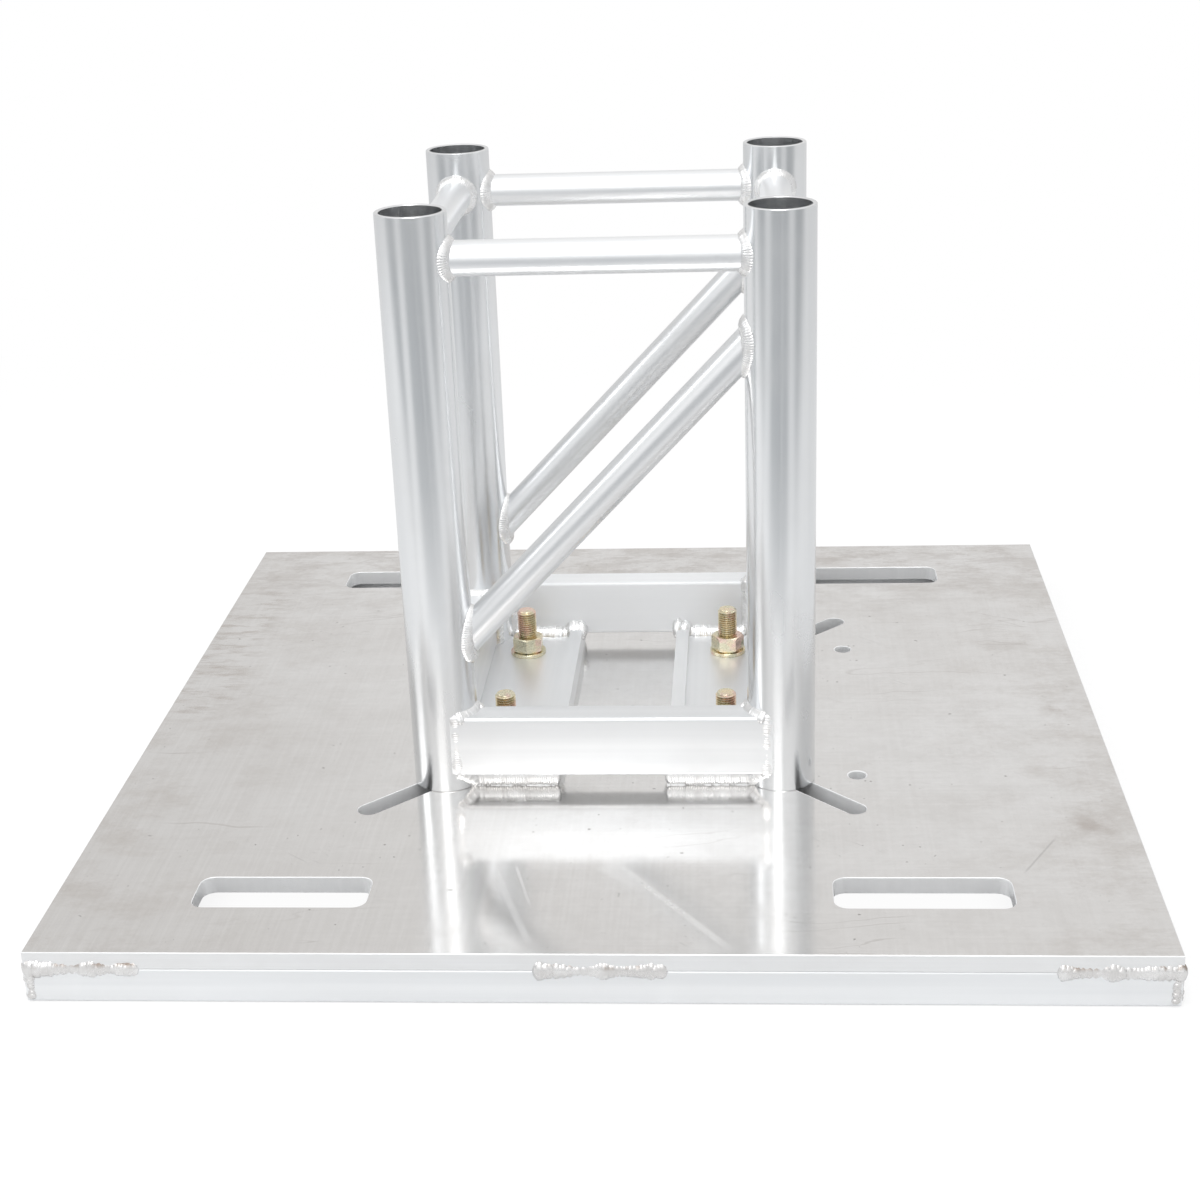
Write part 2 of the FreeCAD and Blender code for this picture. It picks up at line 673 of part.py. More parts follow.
def saddle_blank(centre, direction):
    sections = [saddle_section(centre, direction, 2 * math.pi * step / ROOT_POINTS)
                for step in range(ROOT_POINTS)]
    edges = []
    for points in zip(*sections):
        curve = Part.BSplineCurve()
        curve.interpolate(Points=list(points), PeriodicFlag=True)
        edges.append(curve.toShape())
    bands = [Part.makeRuledSurface(a, b) for a, b in zip(edges, edges[1:] + edges[:1])]
    shell = Part.Compound(bands)
    shell.sewShape()
    blank = Part.Solid(Part.Shell(shell.Faces))
    if blank.Volume < 0:
        blank.reverse()
    return blank


def saddle_weld(centre, direction):
    """The blank less the chord and the brace that it lies on."""
    tall = size.brace_diameter.number * 6
    chord = Part.makeCylinder(chord_radius.number, tall, centre - Vector(0, 0, tall / 2))
    brace = Part.makeCylinder(brace_radius.number, tall, centre, direction)
    return saddle_blank(centre, direction).cut(chord).cut(brace)


def weld_feature(name, welds, label):
    item = doc.addObject("Part::Feature", name)
    item.Shape = Part.Compound(welds)
    item.Placement = Placement()
    keep(item, label)


def corner_point(x_side, y_side, height):
    x, y = truss_place(chord_reach * x_side, chord_reach * y_side)
    return Vector(x.number, y.number, height.number)


def make_brace_welds():
    cross_welds = []
    height = chord_top - size.cross_brace_drop
    for _, x_side, y_side in CORNERS:
        centre = corner_point(x_side, y_side, height)
        cross_welds.append(saddle_weld(centre, Vector(-x_side, 0, 0)))
        cross_welds.append(saddle_weld(centre, Vector(0, -y_side, 0)))
    weld_feature("cross_weld_rings", cross_welds, "cross_brace_welds")

    diagonal_welds = []
    low, high = diagonal_ends()
    for y_side in (-1, 1):
        lower, upper = corner_point(-1, y_side, low), corner_point(1, y_side, high)
        slope = (upper - lower).normalize()
        diagonal_welds.append(saddle_weld(lower, slope))
        diagonal_welds.append(saddle_weld(upper, slope * -1))
    weld_feature("diagonal_weld_rings", diagonal_welds, "diagonal_brace_welds")


# Bolts come up through plate and foot; washers and nuts sit on the foot.
def hexagon(name, height):
    item = doc.addObject("Part::Prism", name)
    item.Polygon = 6
    return bind(item, Circumradius=size.hex_width / math.sqrt(3), Height=height)


def chamfered_hexagon(name, height, x, y, z, turn, ends):
    """A hexagon whose named ends are trimmed by a flat cone."""
    trim = size.hex_width / 2 * 0.98
    spread = trim + height * math.sqrt(3)
    parts = [put(hexagon(name + "_prism", height), x, y, z, turn)]
    if "top" in ends:
        parts.append(put(cone(name + "_top_cone", spread, trim, height), x, y, z))
    if "bottom" in ends:
        parts.append(put(cone(name + "_bottom_cone", trim, spread, height), x, y, z))
    return common(name + "_hexagon", parts)


def make_fasteners():
    bolts, washers, nuts = [], [], []
    shank_radius = size.bolt_diameter / 2
    bolt_seat = size.under_tube_height
    nut_seat = foot_top + size.washer_thick
    for index, (corner, x_side, y_side) in enumerate(CORNERS):
        x, y = truss_place(size.bolt_pitch / 2 * x_side, size.bolt_pitch / 2 * y_side)
        turn = about_z(12 + 17 * index)
        head = chamfered_hexagon(f"bolt_{corner}_head", size.bolt_head_height, x, y,
                                 bolt_seat - size.bolt_head_height, turn, ["bottom"])
        straight = size.bolt_length - size.bolt_tip
        shank = put(cylinder(f"bolt_{corner}_shank", shank_radius, straight), x, y, bolt_seat)
        tip = cone(f"bolt_{corner}_tip", shank_radius, shank_radius - size.bolt_tip, size.bolt_tip)
        put(tip, x, y, bolt_seat + straight)
        bolts.append(fuse(f"bolt_{corner}", [head, shank, tip]))

        disc_radius, hole_radius = size.washer_diameter / 2, shank_radius + size.washer_play / 2
        disc = put(cylinder(f"washer_{corner}_disc", disc_radius, size.washer_thick), x, y, foot_top)
        hole = put(cylinder(f"washer_{corner}_hole", hole_radius, size.washer_thick), x, y, foot_top)
        washers.append(cut(f"washer_{corner}", disc, hole))

        hexagonal = chamfered_hexagon(f"nut_{corner}", size.nut_height, x, y, nut_seat,
                                      about_z(30 * index), ["top", "bottom"])
        bore_radius = shank_radius + size.thread_play / 2
        bore = put(cylinder(f"nut_{corner}_bore", bore_radius, size.nut_height), x, y, nut_seat)
        nuts.append(cut(f"nut_{corner}", hexagonal, bore))
    keep(group("bolt_group", bolts), "bolts")
    keep(group("washer_group", washers), "washers")
    keep(group("nut_group", nuts), "nuts")


def failures():
    """Every object that failed, and every piece without a sound shape."""
    found = []
    for item in doc.Objects:
        if "Invalid" in item.State or "Error" in item.State:
            found.append(f"{item.Name}: {item.State}")
    for item in nodes:
        if item.Shape.isNull() or not item.Shape.isValid() or not item.Shape.Solids:
            found.append(f"{item.Label}: no sound solid")
    return found


make_base_plate()
under_envelope = make_under_frame()
make_under_rail_welds(under_envelope)
chord_envelope = make_chords()
rail_envelope = make_base_rails(chord_envelope)
feet = make_feet(chord_envelope, rail_envelope)
rail_welds = make_base_rail_welds(chord_envelope, rail_envelope)
make_foot_welds(chord_envelope, rail_envelope, feet, rail_welds)
make_cross_braces(chord_envelope)
make_diagonal_braces(chord_envelope)
make_brace_welds()
make_fasteners()
doc.recompute()

problems = failures()
if problems:
    print("\n".join(problems))
    sys.exit(1)

os.makedirs("parts", exist_ok=True)
for item in nodes:
    item.Shape.exportStep(f"parts/{item.Label}.step")
    print(item.Label, len(item.Shape.Solids), "solids", round(item.Shape.Volume / 1000, 1), "cm3")
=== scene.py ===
import math

import bmesh
import bpy
from mathutils import Matrix, Vector


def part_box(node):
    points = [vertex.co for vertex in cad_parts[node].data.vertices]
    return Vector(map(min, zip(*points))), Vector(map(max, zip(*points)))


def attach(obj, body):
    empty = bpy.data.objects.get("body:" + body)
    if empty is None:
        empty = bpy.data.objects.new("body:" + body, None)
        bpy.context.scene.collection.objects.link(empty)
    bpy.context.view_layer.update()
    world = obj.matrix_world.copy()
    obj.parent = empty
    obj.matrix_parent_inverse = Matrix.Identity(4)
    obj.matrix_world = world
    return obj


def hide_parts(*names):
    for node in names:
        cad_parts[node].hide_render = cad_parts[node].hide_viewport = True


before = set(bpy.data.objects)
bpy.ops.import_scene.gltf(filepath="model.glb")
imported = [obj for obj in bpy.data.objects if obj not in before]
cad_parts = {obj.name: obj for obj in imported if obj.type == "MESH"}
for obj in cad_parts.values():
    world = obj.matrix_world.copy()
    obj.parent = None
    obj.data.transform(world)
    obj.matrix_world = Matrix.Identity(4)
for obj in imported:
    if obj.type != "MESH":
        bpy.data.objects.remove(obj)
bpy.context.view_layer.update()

# The camera stands in front of the plate, a little to the right, and looks
# down on it by about 22 degrees, as the photograph does.
DIP, HEADING, LEAN = math.radians(21.924), math.radians(4.226), math.radians(-2.049)
camera_data = bpy.data.cameras.new("camera")
camera_data.sensor_width = 36.0
camera_data.lens = 61.474
camera_data.shift_x = -0.00592
camera_data.shift_y = 0.00661
camera_data.clip_start, camera_data.clip_end = 0.05, 60.0
camera = bpy.data.objects.new("camera", camera_data)
bpy.context.scene.collection.objects.link(camera)
camera.matrix_world = (
    Matrix.Translation((0.10327, -1.53244, 0.74641))
    @ Matrix.Rotation(HEADING, 4, "Z")
    @ Matrix.Rotation(math.pi / 2 - DIP, 4, "X")
    @ Matrix.Rotation(LEAN, 4, "Z"))
bpy.context.scene.camera = camera
bpy.context.scene.view_settings.view_transform = "Standard"


# The studio: a pale floor, a white surround that metal sees a little darker
# behind the object than in front of it, and three large soft lamps.
class Wire:
    """One node output that can be used in a sum, and adds its Math nodes."""

    def __init__(self, tree, socket):
        self.tree = tree
        self.socket = socket

    def math(self, operation, *values, clamp=False):
        node = self.tree.nodes.new("ShaderNodeMath")
        node.operation = operation
        node.use_clamp = clamp
        for socket, value in zip(node.inputs, values):
            plug(self.tree, socket, value)
        return Wire(self.tree, node.outputs[0])

    def __add__(self, other):
        return self.math("ADD", self, other)

    def __radd__(self, other):
        return self.math("ADD", other, self)

    def __sub__(self, other):
        return self.math("SUBTRACT", self, other)

    def __rsub__(self, other):
        return self.math("SUBTRACT", other, self)

    def __mul__(self, other):
        return self.math("MULTIPLY", self, other)

    def __rmul__(self, other):
        return self.math("MULTIPLY", other, self)

    def size(self):
        return self.math("ABSOLUTE", self)

    def root(self):
        return self.math("SQRT", self)

    def larger(self, other):
        return self.math("MAXIMUM", self, other)

    def kept(self):
        """Held between nought and one."""
        return self.math("ADD", self, 0.0, clamp=True)

    def eased(self, start, end):
        """Nought before start and one after end, with a soft step between."""
        node = self.tree.nodes.new("ShaderNodeMapRange")
        node.interpolation_type = "SMOOTHSTEP"
        for socket, value in zip(node.inputs, (self, start, end, 0.0, 1.0)):
            plug(self.tree, socket, value)
        return Wire(self.tree, node.outputs[0])


def plug(tree, socket, value):
    """Link a wire to a socket, or set the socket to a plain value."""
    if isinstance(value, Wire):
        tree.links.new(value.socket, socket)
    else:
        socket.default_value = value


class Nodes:
    """A node tree under construction."""

    def __init__(self, tree):
        self.tree = tree
        self.tree.nodes.clear()

    def add(self, kind, output=0, settings=None, **values):
        """Add a node: its settings first, then its sockets, by name or as i0, i1."""
        node = self.tree.nodes.new(kind)
        for name, value in (settings or {}).items():
            setattr(node, name, value)
        for name, value in values.items():
            key = int(name[1:]) if name[1:].isdigit() else name.replace("_", " ")
            plug(self.tree, node.inputs[key], value)
        return Wire(self.tree, node.outputs[output]) if node.outputs else node

    def place(self):
        """A point's own place, in metres of the shared frame."""
        return self.add("ShaderNodeTexCoord", "Object")

    def layers(self, colour, *coats):
        """Lay coats, each a share and a colour, over a colour in their order."""
        for share, coat in coats:
            colour = self.add("ShaderNodeMix", 2, {"data_type": "RGBA"}, i0=share, i6=colour, i7=coat)
        return colour

    def split(self, vector):
        """The three parts of a vector, each a wire of its own."""
        node = self.tree.nodes.new("ShaderNodeSeparateXYZ")
        plug(self.tree, node.inputs[0], vector)
        return [Wire(self.tree, output) for output in node.outputs]

    def join(self, x, y, z):
        return self.add("ShaderNodeCombineXYZ", X=x, Y=y, Z=z)


def grey(level, warmth=0.0):
    """A grey of a given level, a little warm or, below nought, cool."""
    return (level * (1 + warmth), level, level * (1 - warmth), 1.0)


WHITE = grey(1.0)
world = bpy.data.worlds.new("studio")
world.use_nodes = True
bpy.context.scene.world = world
sky = Nodes(world.node_tree)
across, ahead, above = sky.split(sky.add("ShaderNodeTexCoord", "Generated"))
seen = sky.add("ShaderNodeLightPath", "Is Camera Ray")
in_gloss = sky.add("ShaderNodeLightPath", "Is Glossy Ray")
in_front = (-1.0 * ahead).eased(-0.35, 0.75)
overhead = above.eased(0.45, 0.95)
beside = across.size().eased(0.55, 0.95)
around = sky.layers(
    grey(0.79, 0.006), (in_front, grey(1.04, -0.004)), (beside * 0.75, grey(0.66, -0.012)),
    (overhead * 0.8, WHITE))
surround = sky.layers(grey(0.86), (in_gloss, around), (seen, WHITE))
background = sky.add("ShaderNodeBackground", Color=surround, Strength=1.0)
sky.add("ShaderNodeOutputWorld", Surface=background)

FLOOR_HALF = 30.0
FLOOR_DROP = 0.0002
floor_mesh = bpy.data.meshes.new("floor")
floor_mesh.from_pydata(
    [(-FLOOR_HALF, -FLOOR_HALF, 0), (FLOOR_HALF, -FLOOR_HALF, 0),
     (FLOOR_HALF, FLOOR_HALF, 0), (-FLOOR_HALF, FLOOR_HALF, 0)], [], [(0, 1, 2, 3)])
floor = bpy.data.objects.new("floor", floor_mesh)
bpy.context.scene.collection.objects.link(floor)
floor.location.z = -FLOOR_DROP
floor_material = bpy.data.materials.new("pale_floor")
floor_material.use_nodes = True
ground = Nodes(floor_material.node_tree)
to_camera = ground.add("ShaderNodeLightPath", "Is Camera Ray")
east, north, _ = ground.split(ground.place())
bearing = east.math("ARCTAN2", east, -1.0 * north)
front_strip = 1.0 - (bearing - 0.118).size().eased(0.004, 0.018)
side_strips = 1.0 - (bearing.size() - 0.62).size().eased(0.05, 0.28)
dark_gap = 1.0 - (bearing - 0.070).size().eased(0.015, 0.040)
beside_plate = 1.0 - (-1.0 * north).eased(0.40, 1.05)
seen_by_metal = ground.layers(
    grey(0.43, -0.030), (beside_plate, grey(0.80, -0.004)),
    (dark_gap * (1.0 - beside_plate) * 0.4, grey(0.26, -0.03)),
    ((front_strip + 0.6 * side_strips).kept(), grey(0.84, -0.004)))
paper = ground.add("ShaderNodeBsdfDiffuse", Color=ground.layers(seen_by_metal, (to_camera, WHITE)))
glow = ground.add("ShaderNodeEmission", Color=WHITE, Strength=1.0)
from_middle = east.size().larger(north.size())
# Under the plate the floor glows brighter for the camera: painted light that hides the plate's shadow seen
# through its slots.
painted_light_under_plate = 1.0 - from_middle.eased(0.26, 0.37)
far_away = from_middle.eased(0.70, 1.30)
own_light = (0.66 + painted_light_under_plate * 0.31 + far_away * 0.34).kept()
lit = ground.add("ShaderNodeMixShader", i0=to_camera * own_light, i1=paper, i2=glow)
ground.add("ShaderNodeOutputMaterial", Surface=lit)
floor_mesh.materials.append(floor_material)


def soft_lamp(name, place, aim, size, watts, colour):
    """A square soft box that faces its aim."""
    lamp_data = bpy.data.lights.new(name, "AREA")
    lamp_data.shape = "SQUARE"
    lamp_data.size = size
    lamp_data.energy = watts
    lamp_data.color = colour
    lamp = bpy.data.objects.new(name, lamp_data)
    bpy.context.scene.collection.objects.link(lamp)
    lamp.location = place
    lamp.rotation_euler = (Vector(aim) - Vector(place)).to_track_quat("-Z", "Y").to_euler()


soft_lamp("front_box", (-0.4, -2.5, 2.0), (0, 0, 0.15), 1.3, 9, (1.0, 0.995, 0.985))
soft_lamp("left_box", (-2.3, -0.4, 1.6), (0, 0, 0.2), 1.2, 7, (0.98, 0.99, 1.0))
soft_lamp("top_box", (0.05, -1.1, 2.7), (0, 0.05, 0.1), 1.0, 18, (1.0, 1.0, 1.0))

# The base plate is one piece of rolled aluminium, cut square, with milled hand slots, bolt slots and two
# drilled holes. It is dull, smeared and scuffed on top, and its cut edges are brighter. The walls of its
# slots and holes are near white and mostly diffuse: milled metal, with painted light against the shade inside
# them.
plate_low, plate_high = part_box("base_plate")
plate_top = plate_high.z
truss_back_set = 0.004
CORNERS = {"front_left": (-1, -1), "front_right": (1, -1), "rear_right": (1, 1), "rear_left": (-1, 1)}
HAND_SLOT = {"long": 0.122, "wide": 0.0415, "round": 0.0095, "x": 0.2213, "y": 0.30055}
BOLT_SLOT = {"half_width": 0.00875, "root": 0.079, "tip": 0.181}
SIDE_HOLE = {"x": 0.1857, "y": 0.122, "radius": 0.00675}
PLATE_CHAMFER = 0.0005


def arc_points(x, y, radius, start, end, steps):
    """Points along an arc, its angles in degrees."""
    angles = [math.radians(start + (end - start) * step / steps) for step in range(steps + 1)]
    return [(x + radius * math.cos(angle), y + radius * math.sin(angle)) for angle in angles]


def ring_points(radius, steps, x=0.0, y=0.0):
    """Evenly spaced points of a whole circle, anticlockwise from its right."""
    return arc_points(x, y, radius, 0, 360 - 360 / steps, steps - 1)


def rounded_outline(x, y, wide, high, radius, steps=8):
    """A rectangle with round corners, anticlockwise from its lower right."""
    points = []
    for side_x, side_y, start in ((1, -1, 270), (1, 1, 0), (-1, 1, 90), (-1, -1, 180)):
        corner_x = x + side_x * (wide / 2 - radius)
        corner_y = y + side_y * (high / 2 - radius)
        points += arc_points(corner_x, corner_y, radius, start, start + 90, steps)
    return points


def slot_outline(side_x, side_y, half_width):
    """A bolt slot on a diagonal of the truss."""
    heading = math.degrees(math.atan2(side_y, side_x))
    points = []
    for reach, start in ((BOLT_SLOT["root"], heading + 90), (BOLT_SLOT["tip"], heading - 90)):
        points += arc_points(reach * side_x, reach * side_y + truss_back_set, half_width,
                             start, start + 180, 16)
    return points


def plate_outlines(wider):
    """The plate's edge drawn in, and every hole drawn out, by the same step."""
    half_x, half_y = plate_high.x - wider, plate_high.y - wider
    outlines = [[(half_x * side_x, half_y * side_y) for side_x, side_y in CORNERS.values()]]
    for side_x, side_y in CORNERS.values():
        outlines.append(rounded_outline(
            HAND_SLOT["x"] * side_x, HAND_SLOT["y"] * side_y, HAND_SLOT["long"] + 2 * wider,
            HAND_SLOT["wide"] + 2 * wider, HAND_SLOT["round"] + wider))
        outlines.append(slot_outline(side_x, side_y, BOLT_SLOT["half_width"] + wider))
    for side_y in (-1, 1):
        outlines.append(ring_points(SIDE_HOLE["radius"] + 2 * wider, 40, SIDE_HOLE["x"],
                                    SIDE_HOLE["y"] * side_y))
    return outlines


def band(bm, first, last, material_index=0):
    """Faces between two rings of points of equal count."""
    for step in range(len(first)):
        after = (step + 1) % len(first)
        face = bm.faces.new((first[step], first[after], last[after], last[step]))
        face.material_index = material_index


def shaded_mesh(name, bm, crease, turn_out=True):
    """Turn built geometry into a mesh that is smooth but for its creases."""
    if turn_out:
        bmesh.ops.recalc_face_normals(bm, faces=bm.faces)
    mesh = bpy.data.meshes.new(name)
    bm.to_mesh(mesh)
    bm.free()
    mesh.polygons.foreach_set("use_smooth", [True] * len(mesh.polygons))
    mesh.set_sharp_from_angle(angle=math.radians(crease))
    return mesh


def add_piece(name, mesh, node):
    """Show a mesh as the piece that stands for a node of the solids."""
    piece = bpy.data.objects.new(name, mesh)
    bpy.context.scene.collection.objects.link(piece)
    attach(piece, "root")
    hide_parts(node)
    return piece


def finish_piece(name, bm, materials, node, crease=32):
    """Turn built geometry into a piece with its materials."""
    mesh = shaded_mesh(name, bm, crease)
    for material in materials:
        mesh.materials.append(material)
    return add_piece(name, mesh, node)


def start_metal(name):
    """A new material and its empty nodes."""
    material = bpy.data.materials.new(name)
    material.use_nodes = True
    return material, Nodes(material.node_tree)


def finish_metal(nodes, colour, roughness, height, distance, strength, purity=1.0):
    """Close a bare metal with its shader and its fine relief."""
    relief = nodes.add("ShaderNodeBump", Height=height, Distance=distance, Strength=strength)
    shader = nodes.add("ShaderNodeBsdfPrincipled", Base_Color=colour, Roughness=roughness,
                       Metallic=purity, Normal=relief)
    nodes.add("ShaderNodeOutputMaterial", Surface=shader)


def cloud(nodes, scale, detail=4.0, rough=0.55, stretch=(1, 1, 1), turn=(0, 0, 0), shift=(0, 0, 0),
          where=None):
    """Soft noise over a piece, on its own place turned, shifted and stretched."""
    if where is None:
        where = nodes.place()
        if any(shift) or any(turn):
            where = nodes.add("ShaderNodeMapping", Vector=where, Location=shift, Rotation=turn)
        where = nodes.add("ShaderNodeMapping", Vector=where, Scale=stretch)
    return nodes.add("ShaderNodeTexNoise", Vector=where, Scale=scale, Detail=detail, Roughness=rough)


def thin_lines(noise, width):
    """Fine wandering lines where a noise crosses its middle."""
    return 1.0 - (noise - 0.5).size().eased(0.0, width)


def near_spot(x, y, spot_x, spot_y, start, end):
    """One within start of a point of the plate, nought beyond end."""
    aside, along = x - spot_x, y - spot_y
    return 1.0 - (aside * aside + along * along).root().eased(start, end)


def near_line(x, y, start, end, half_width):
    """One on a straight mark between two points, fading to its sides and ends."""
    length = math.dist(start, end)
    run_x, run_y = (end[0] - start[0]) / length, (end[1] - start[1]) / length
    along = (x - start[0]) * run_x + (y - start[1]) * run_y
    aside = (x - start[0]) * run_y - (y - start[1]) * run_x
    within = 1.0 - (along - length / 2).size().eased(length * 0.35, length * 0.55)
    return within * (1.0 - aside.size().eased(half_width * 0.3, half_width))


def rolled_plate_metal():
    """Dull rolled sheet with smears, faint grain lines, dirt and fine scratches, painted shade towards the
    left and painted glare in front of the truss.
    """
    material, nodes = start_metal("rolled_plate")
    x, y, _ = nodes.split(nodes.place())
    smear = cloud(nodes, 5.0, 7.0, 0.66, (1.0, 1.8, 1.0)).eased(0.34, 0.68)
    mottle = cloud(nodes, 30.0, 6.0, 0.66).eased(0.36, 0.72)
    fine_mottle = cloud(nodes, 130.0, 4.0, 0.6).eased(0.36, 0.70)
    grain = cloud(nodes, 1.0, 3.0, 0.7, (260.0, 4.0, 1.0))
    cross_grain = cloud(nodes, 1.0, 3.0, 0.7, (5.0, 320.0, 1.0))
    streaks = cloud(nodes, 1.0, 5.0, 0.65, (26.0, 85.0, 1.0)).eased(0.46, 0.66)
    left_band = (-1.0 * x).eased(0.312, 0.356)
    stain = left_band * y.eased(-0.04, 0.02) * (1.0 - y.eased(0.235, 0.30)) * streaks
    to_edge = x.size().larger(y + 0.06).eased(0.16, 0.385)
    front_edge = (-1.0 * y).eased(0.20, 0.40)
    scuffs = y.eased(0.19, 0.33) * cloud(nodes, 22.0, 6.0, 0.75, (1.0, 2.6, 1.0)).eased(0.46, 0.62)
    edge_dirt = to_edge * cloud(nodes, 3.0, 8.0, 0.74, (5.0, 7.0, 1.0)).eased(0.42, 0.70)
    left_shade = (-1.0 * x - 0.35 * y).eased(0.05, 0.45)
    wander = cloud(nodes, 9.0, 3.0, 0.5) - 0.5
    hair_noise = cloud(nodes, 1.0, 2.0, 0.5, where=nodes.join(x * 4.0, (y + wander * 0.055) * 30.0, 0.0))
    hair_area = cloud(nodes, 6.0, 2.0, shift=(3.1, 1.7, 0.0)).eased(0.54, 0.66)
    hairline = thin_lines(hair_noise, 0.009) * hair_area
    ripple_y = y + wander * 0.040
    for line_y, start, end in ((-0.080, -0.380, -0.325), (-0.207, -0.340, -0.245), (0.262, -0.10, 0.05)):
        wave = (1.0 - (ripple_y - line_y).size().eased(0.0004, 0.0016)) * x.eased(start, start + 0.03)
        hairline = hairline.larger(wave * (1.0 - x.eased(end - 0.03, end)))
    scratch_noise = cloud(nodes, 1.0, 1.0, stretch=(14.0, 230.0, 1.0), turn=(0, 0, 0.7))
    scratch_area = cloud(nodes, 14.0, 2.0, shift=(0.4, 2.2, 0.0)).eased(0.60, 0.72)
    scratch = thin_lines(scratch_noise, 0.006) * scratch_area
    scratch = scratch.larger(near_line(x, y, (0.321, -0.223), (0.293, -0.273), 0.0012))
    blotch = near_spot(x, y, 0.350, -0.005, 0.004, 0.022).larger(
        near_spot(x, y, 0.348, -0.204, 0.005, 0.026)) * mottle
    specks = cloud(nodes, 190.0, 2.0, 0.5).eased(0.735, 0.775)
    for spot_x, spot_y, radius in ((0.319, 0.064, 0.0014), (0.178, 0.052, 0.0012), (0.170, 0.054, 0.0009),
                                   (0.1954, -0.1329, 0.0011), (0.1913, -0.1320, 0.0010),
                                   (0.1912, 0.1290, 0.0011), (0.1957, 0.1290, 0.0010)):
        specks = specks.larger(near_spot(x, y, spot_x, spot_y, radius * 0.6, radius))
    # Painted glare: pale streaks laid into the colour in front of the truss, standing in for glints reflected
    # from its front braces and chords; it also roughens the plate there.
    painted_glare = near_line(x, y, (0.008, -0.258), (0.090, -0.374), 0.0040)
    for start, end, half_width in (((-0.079, -0.262), (-0.041, -0.372), 0.0036),
                                   ((0.000, -0.262), (0.036, -0.300), 0.0100),
                                   ((-0.062, -0.262), (-0.046, -0.320), 0.0016)):
        painted_glare = painted_glare.larger(near_line(x, y, start, end, half_width) * 0.6)
    painted_glare = painted_glare * (0.6 + fine_mottle * 0.4)
    colour = nodes.layers(
        grey(0.81, 0.018), (smear, grey(0.88, 0.008)), (left_shade * 0.62, grey(0.67, 0.020)),
        (mottle * 0.22, grey(0.64, 0.030)), (fine_mottle * 0.14, grey(0.66, 0.020)),
        (grain.eased(0.35, 0.70) * 0.17, grey(0.96)),
        (cross_grain.eased(0.35, 0.70) * 0.10, grey(0.62, 0.01)),
        (stain * 0.60, (0.46, 0.41, 0.37, 1)), (edge_dirt * 0.46, (0.52, 0.475, 0.435, 1)),
        (front_edge * smear * 0.20, (0.56, 0.52, 0.49, 1)), (scuffs * 0.36, (0.50, 0.46, 0.43, 1)),
        (blotch * 0.6, (0.46, 0.40, 0.36, 1)), (hairline * 0.26, (0.40, 0.36, 0.33, 1)),
        (scratch * 0.40, (0.46, 0.45, 0.44, 1)), (specks * 0.60, (0.25, 0.235, 0.22, 1)),
        (painted_glare * 0.6, grey(1.0, 0.004)))
    roughness = 0.105 + smear * 0.035 + mottle * 0.040 + stain * 0.20 + edge_dirt * 0.12 + painted_glare * 0.16
    height = grain * 0.35 + cross_grain * 0.22 + mottle * 0.20 - scratch * 0.5
    finish_metal(nodes, colour, roughness, height, 0.00006, 0.30)
    return material


def cut_edge_metal(name, tone, streak, purity):
    """A sawn or milled face: bright, with fine lines along the cut."""
    material, nodes = start_metal(name)
    lines = cloud(nodes, 1.0, 3.0, 0.7, streak)
    patches = cloud(nodes, 26.0, 4.0, stretch=(1.0, 1.0, 2.0)).eased(0.35, 0.7)
    colour = nodes.layers(grey(tone, -0.008), (lines * 0.5, grey(tone * 0.80, -0.01)),
                          (patches * 0.25, grey(tone * 0.86, 0.006)))
    finish_metal(nodes, colour, 0.34 + patches * 0.10, lines, 0.00012, 0.5, purity)
    return material


plate_bm = bmesh.new()
rings = []
for height, wider in ((plate_top, PLATE_CHAMFER), (plate_top - PLATE_CHAMFER, 0.0),
                      (plate_low.z + PLATE_CHAMFER, 0.0), (plate_low.z, PLATE_CHAMFER)):
    rings.append([[plate_bm.verts.new((x, y, height)) for x, y in outline]
                  for outline in plate_outlines(wider)])
for upper, lower in zip(rings, rings[1:]):
    for index, (above_ring, below_ring) in enumerate(zip(upper, lower)):
        band(plate_bm, above_ring, below_ring, 1 if index == 0 else 2)
for ring_set in (rings[0], rings[-1]):
    edges = []
    for ring in ring_set:
        edges += [plate_bm.edges.get(pair) for pair in zip(ring, ring[1:] + ring[:1])]
    bmesh.ops.triangle_fill(plate_bm, use_beauty=True, use_dissolve=False, edges=edges)
sawn_edge = cut_edge_metal("sawn_edge", 0.86, (3.0, 3.0, 700.0), 0.85)
# The slot walls' copy is near white and mostly diffuse: milled metal, and painted light that lifts the walls
# out of the shade inside the slots.
slot_wall_painted_light = cut_edge_metal("milled_slot_wall", 0.95, (160.0, 160.0, 20.0), 0.25)
finish_piece("plate", plate_bm, [rolled_plate_metal(), sawn_edge, slot_wall_painted_light], "base_plate", 20)


# The under-frame: four drawn tubes with rounded corners, mitred where they
# meet, flush with the plate's edges and stitch welded to its underside.
SIDES = ("front", "right", "rear", "left")
UNDER_ROUND = 0.002


def quarter_turned(quarter, point):
    """A point turned by quarters about the plate's middle."""
    x, y, z = point
    for _ in range(quarter):
        x, y = -y, x
    return Vector((x, y, z))


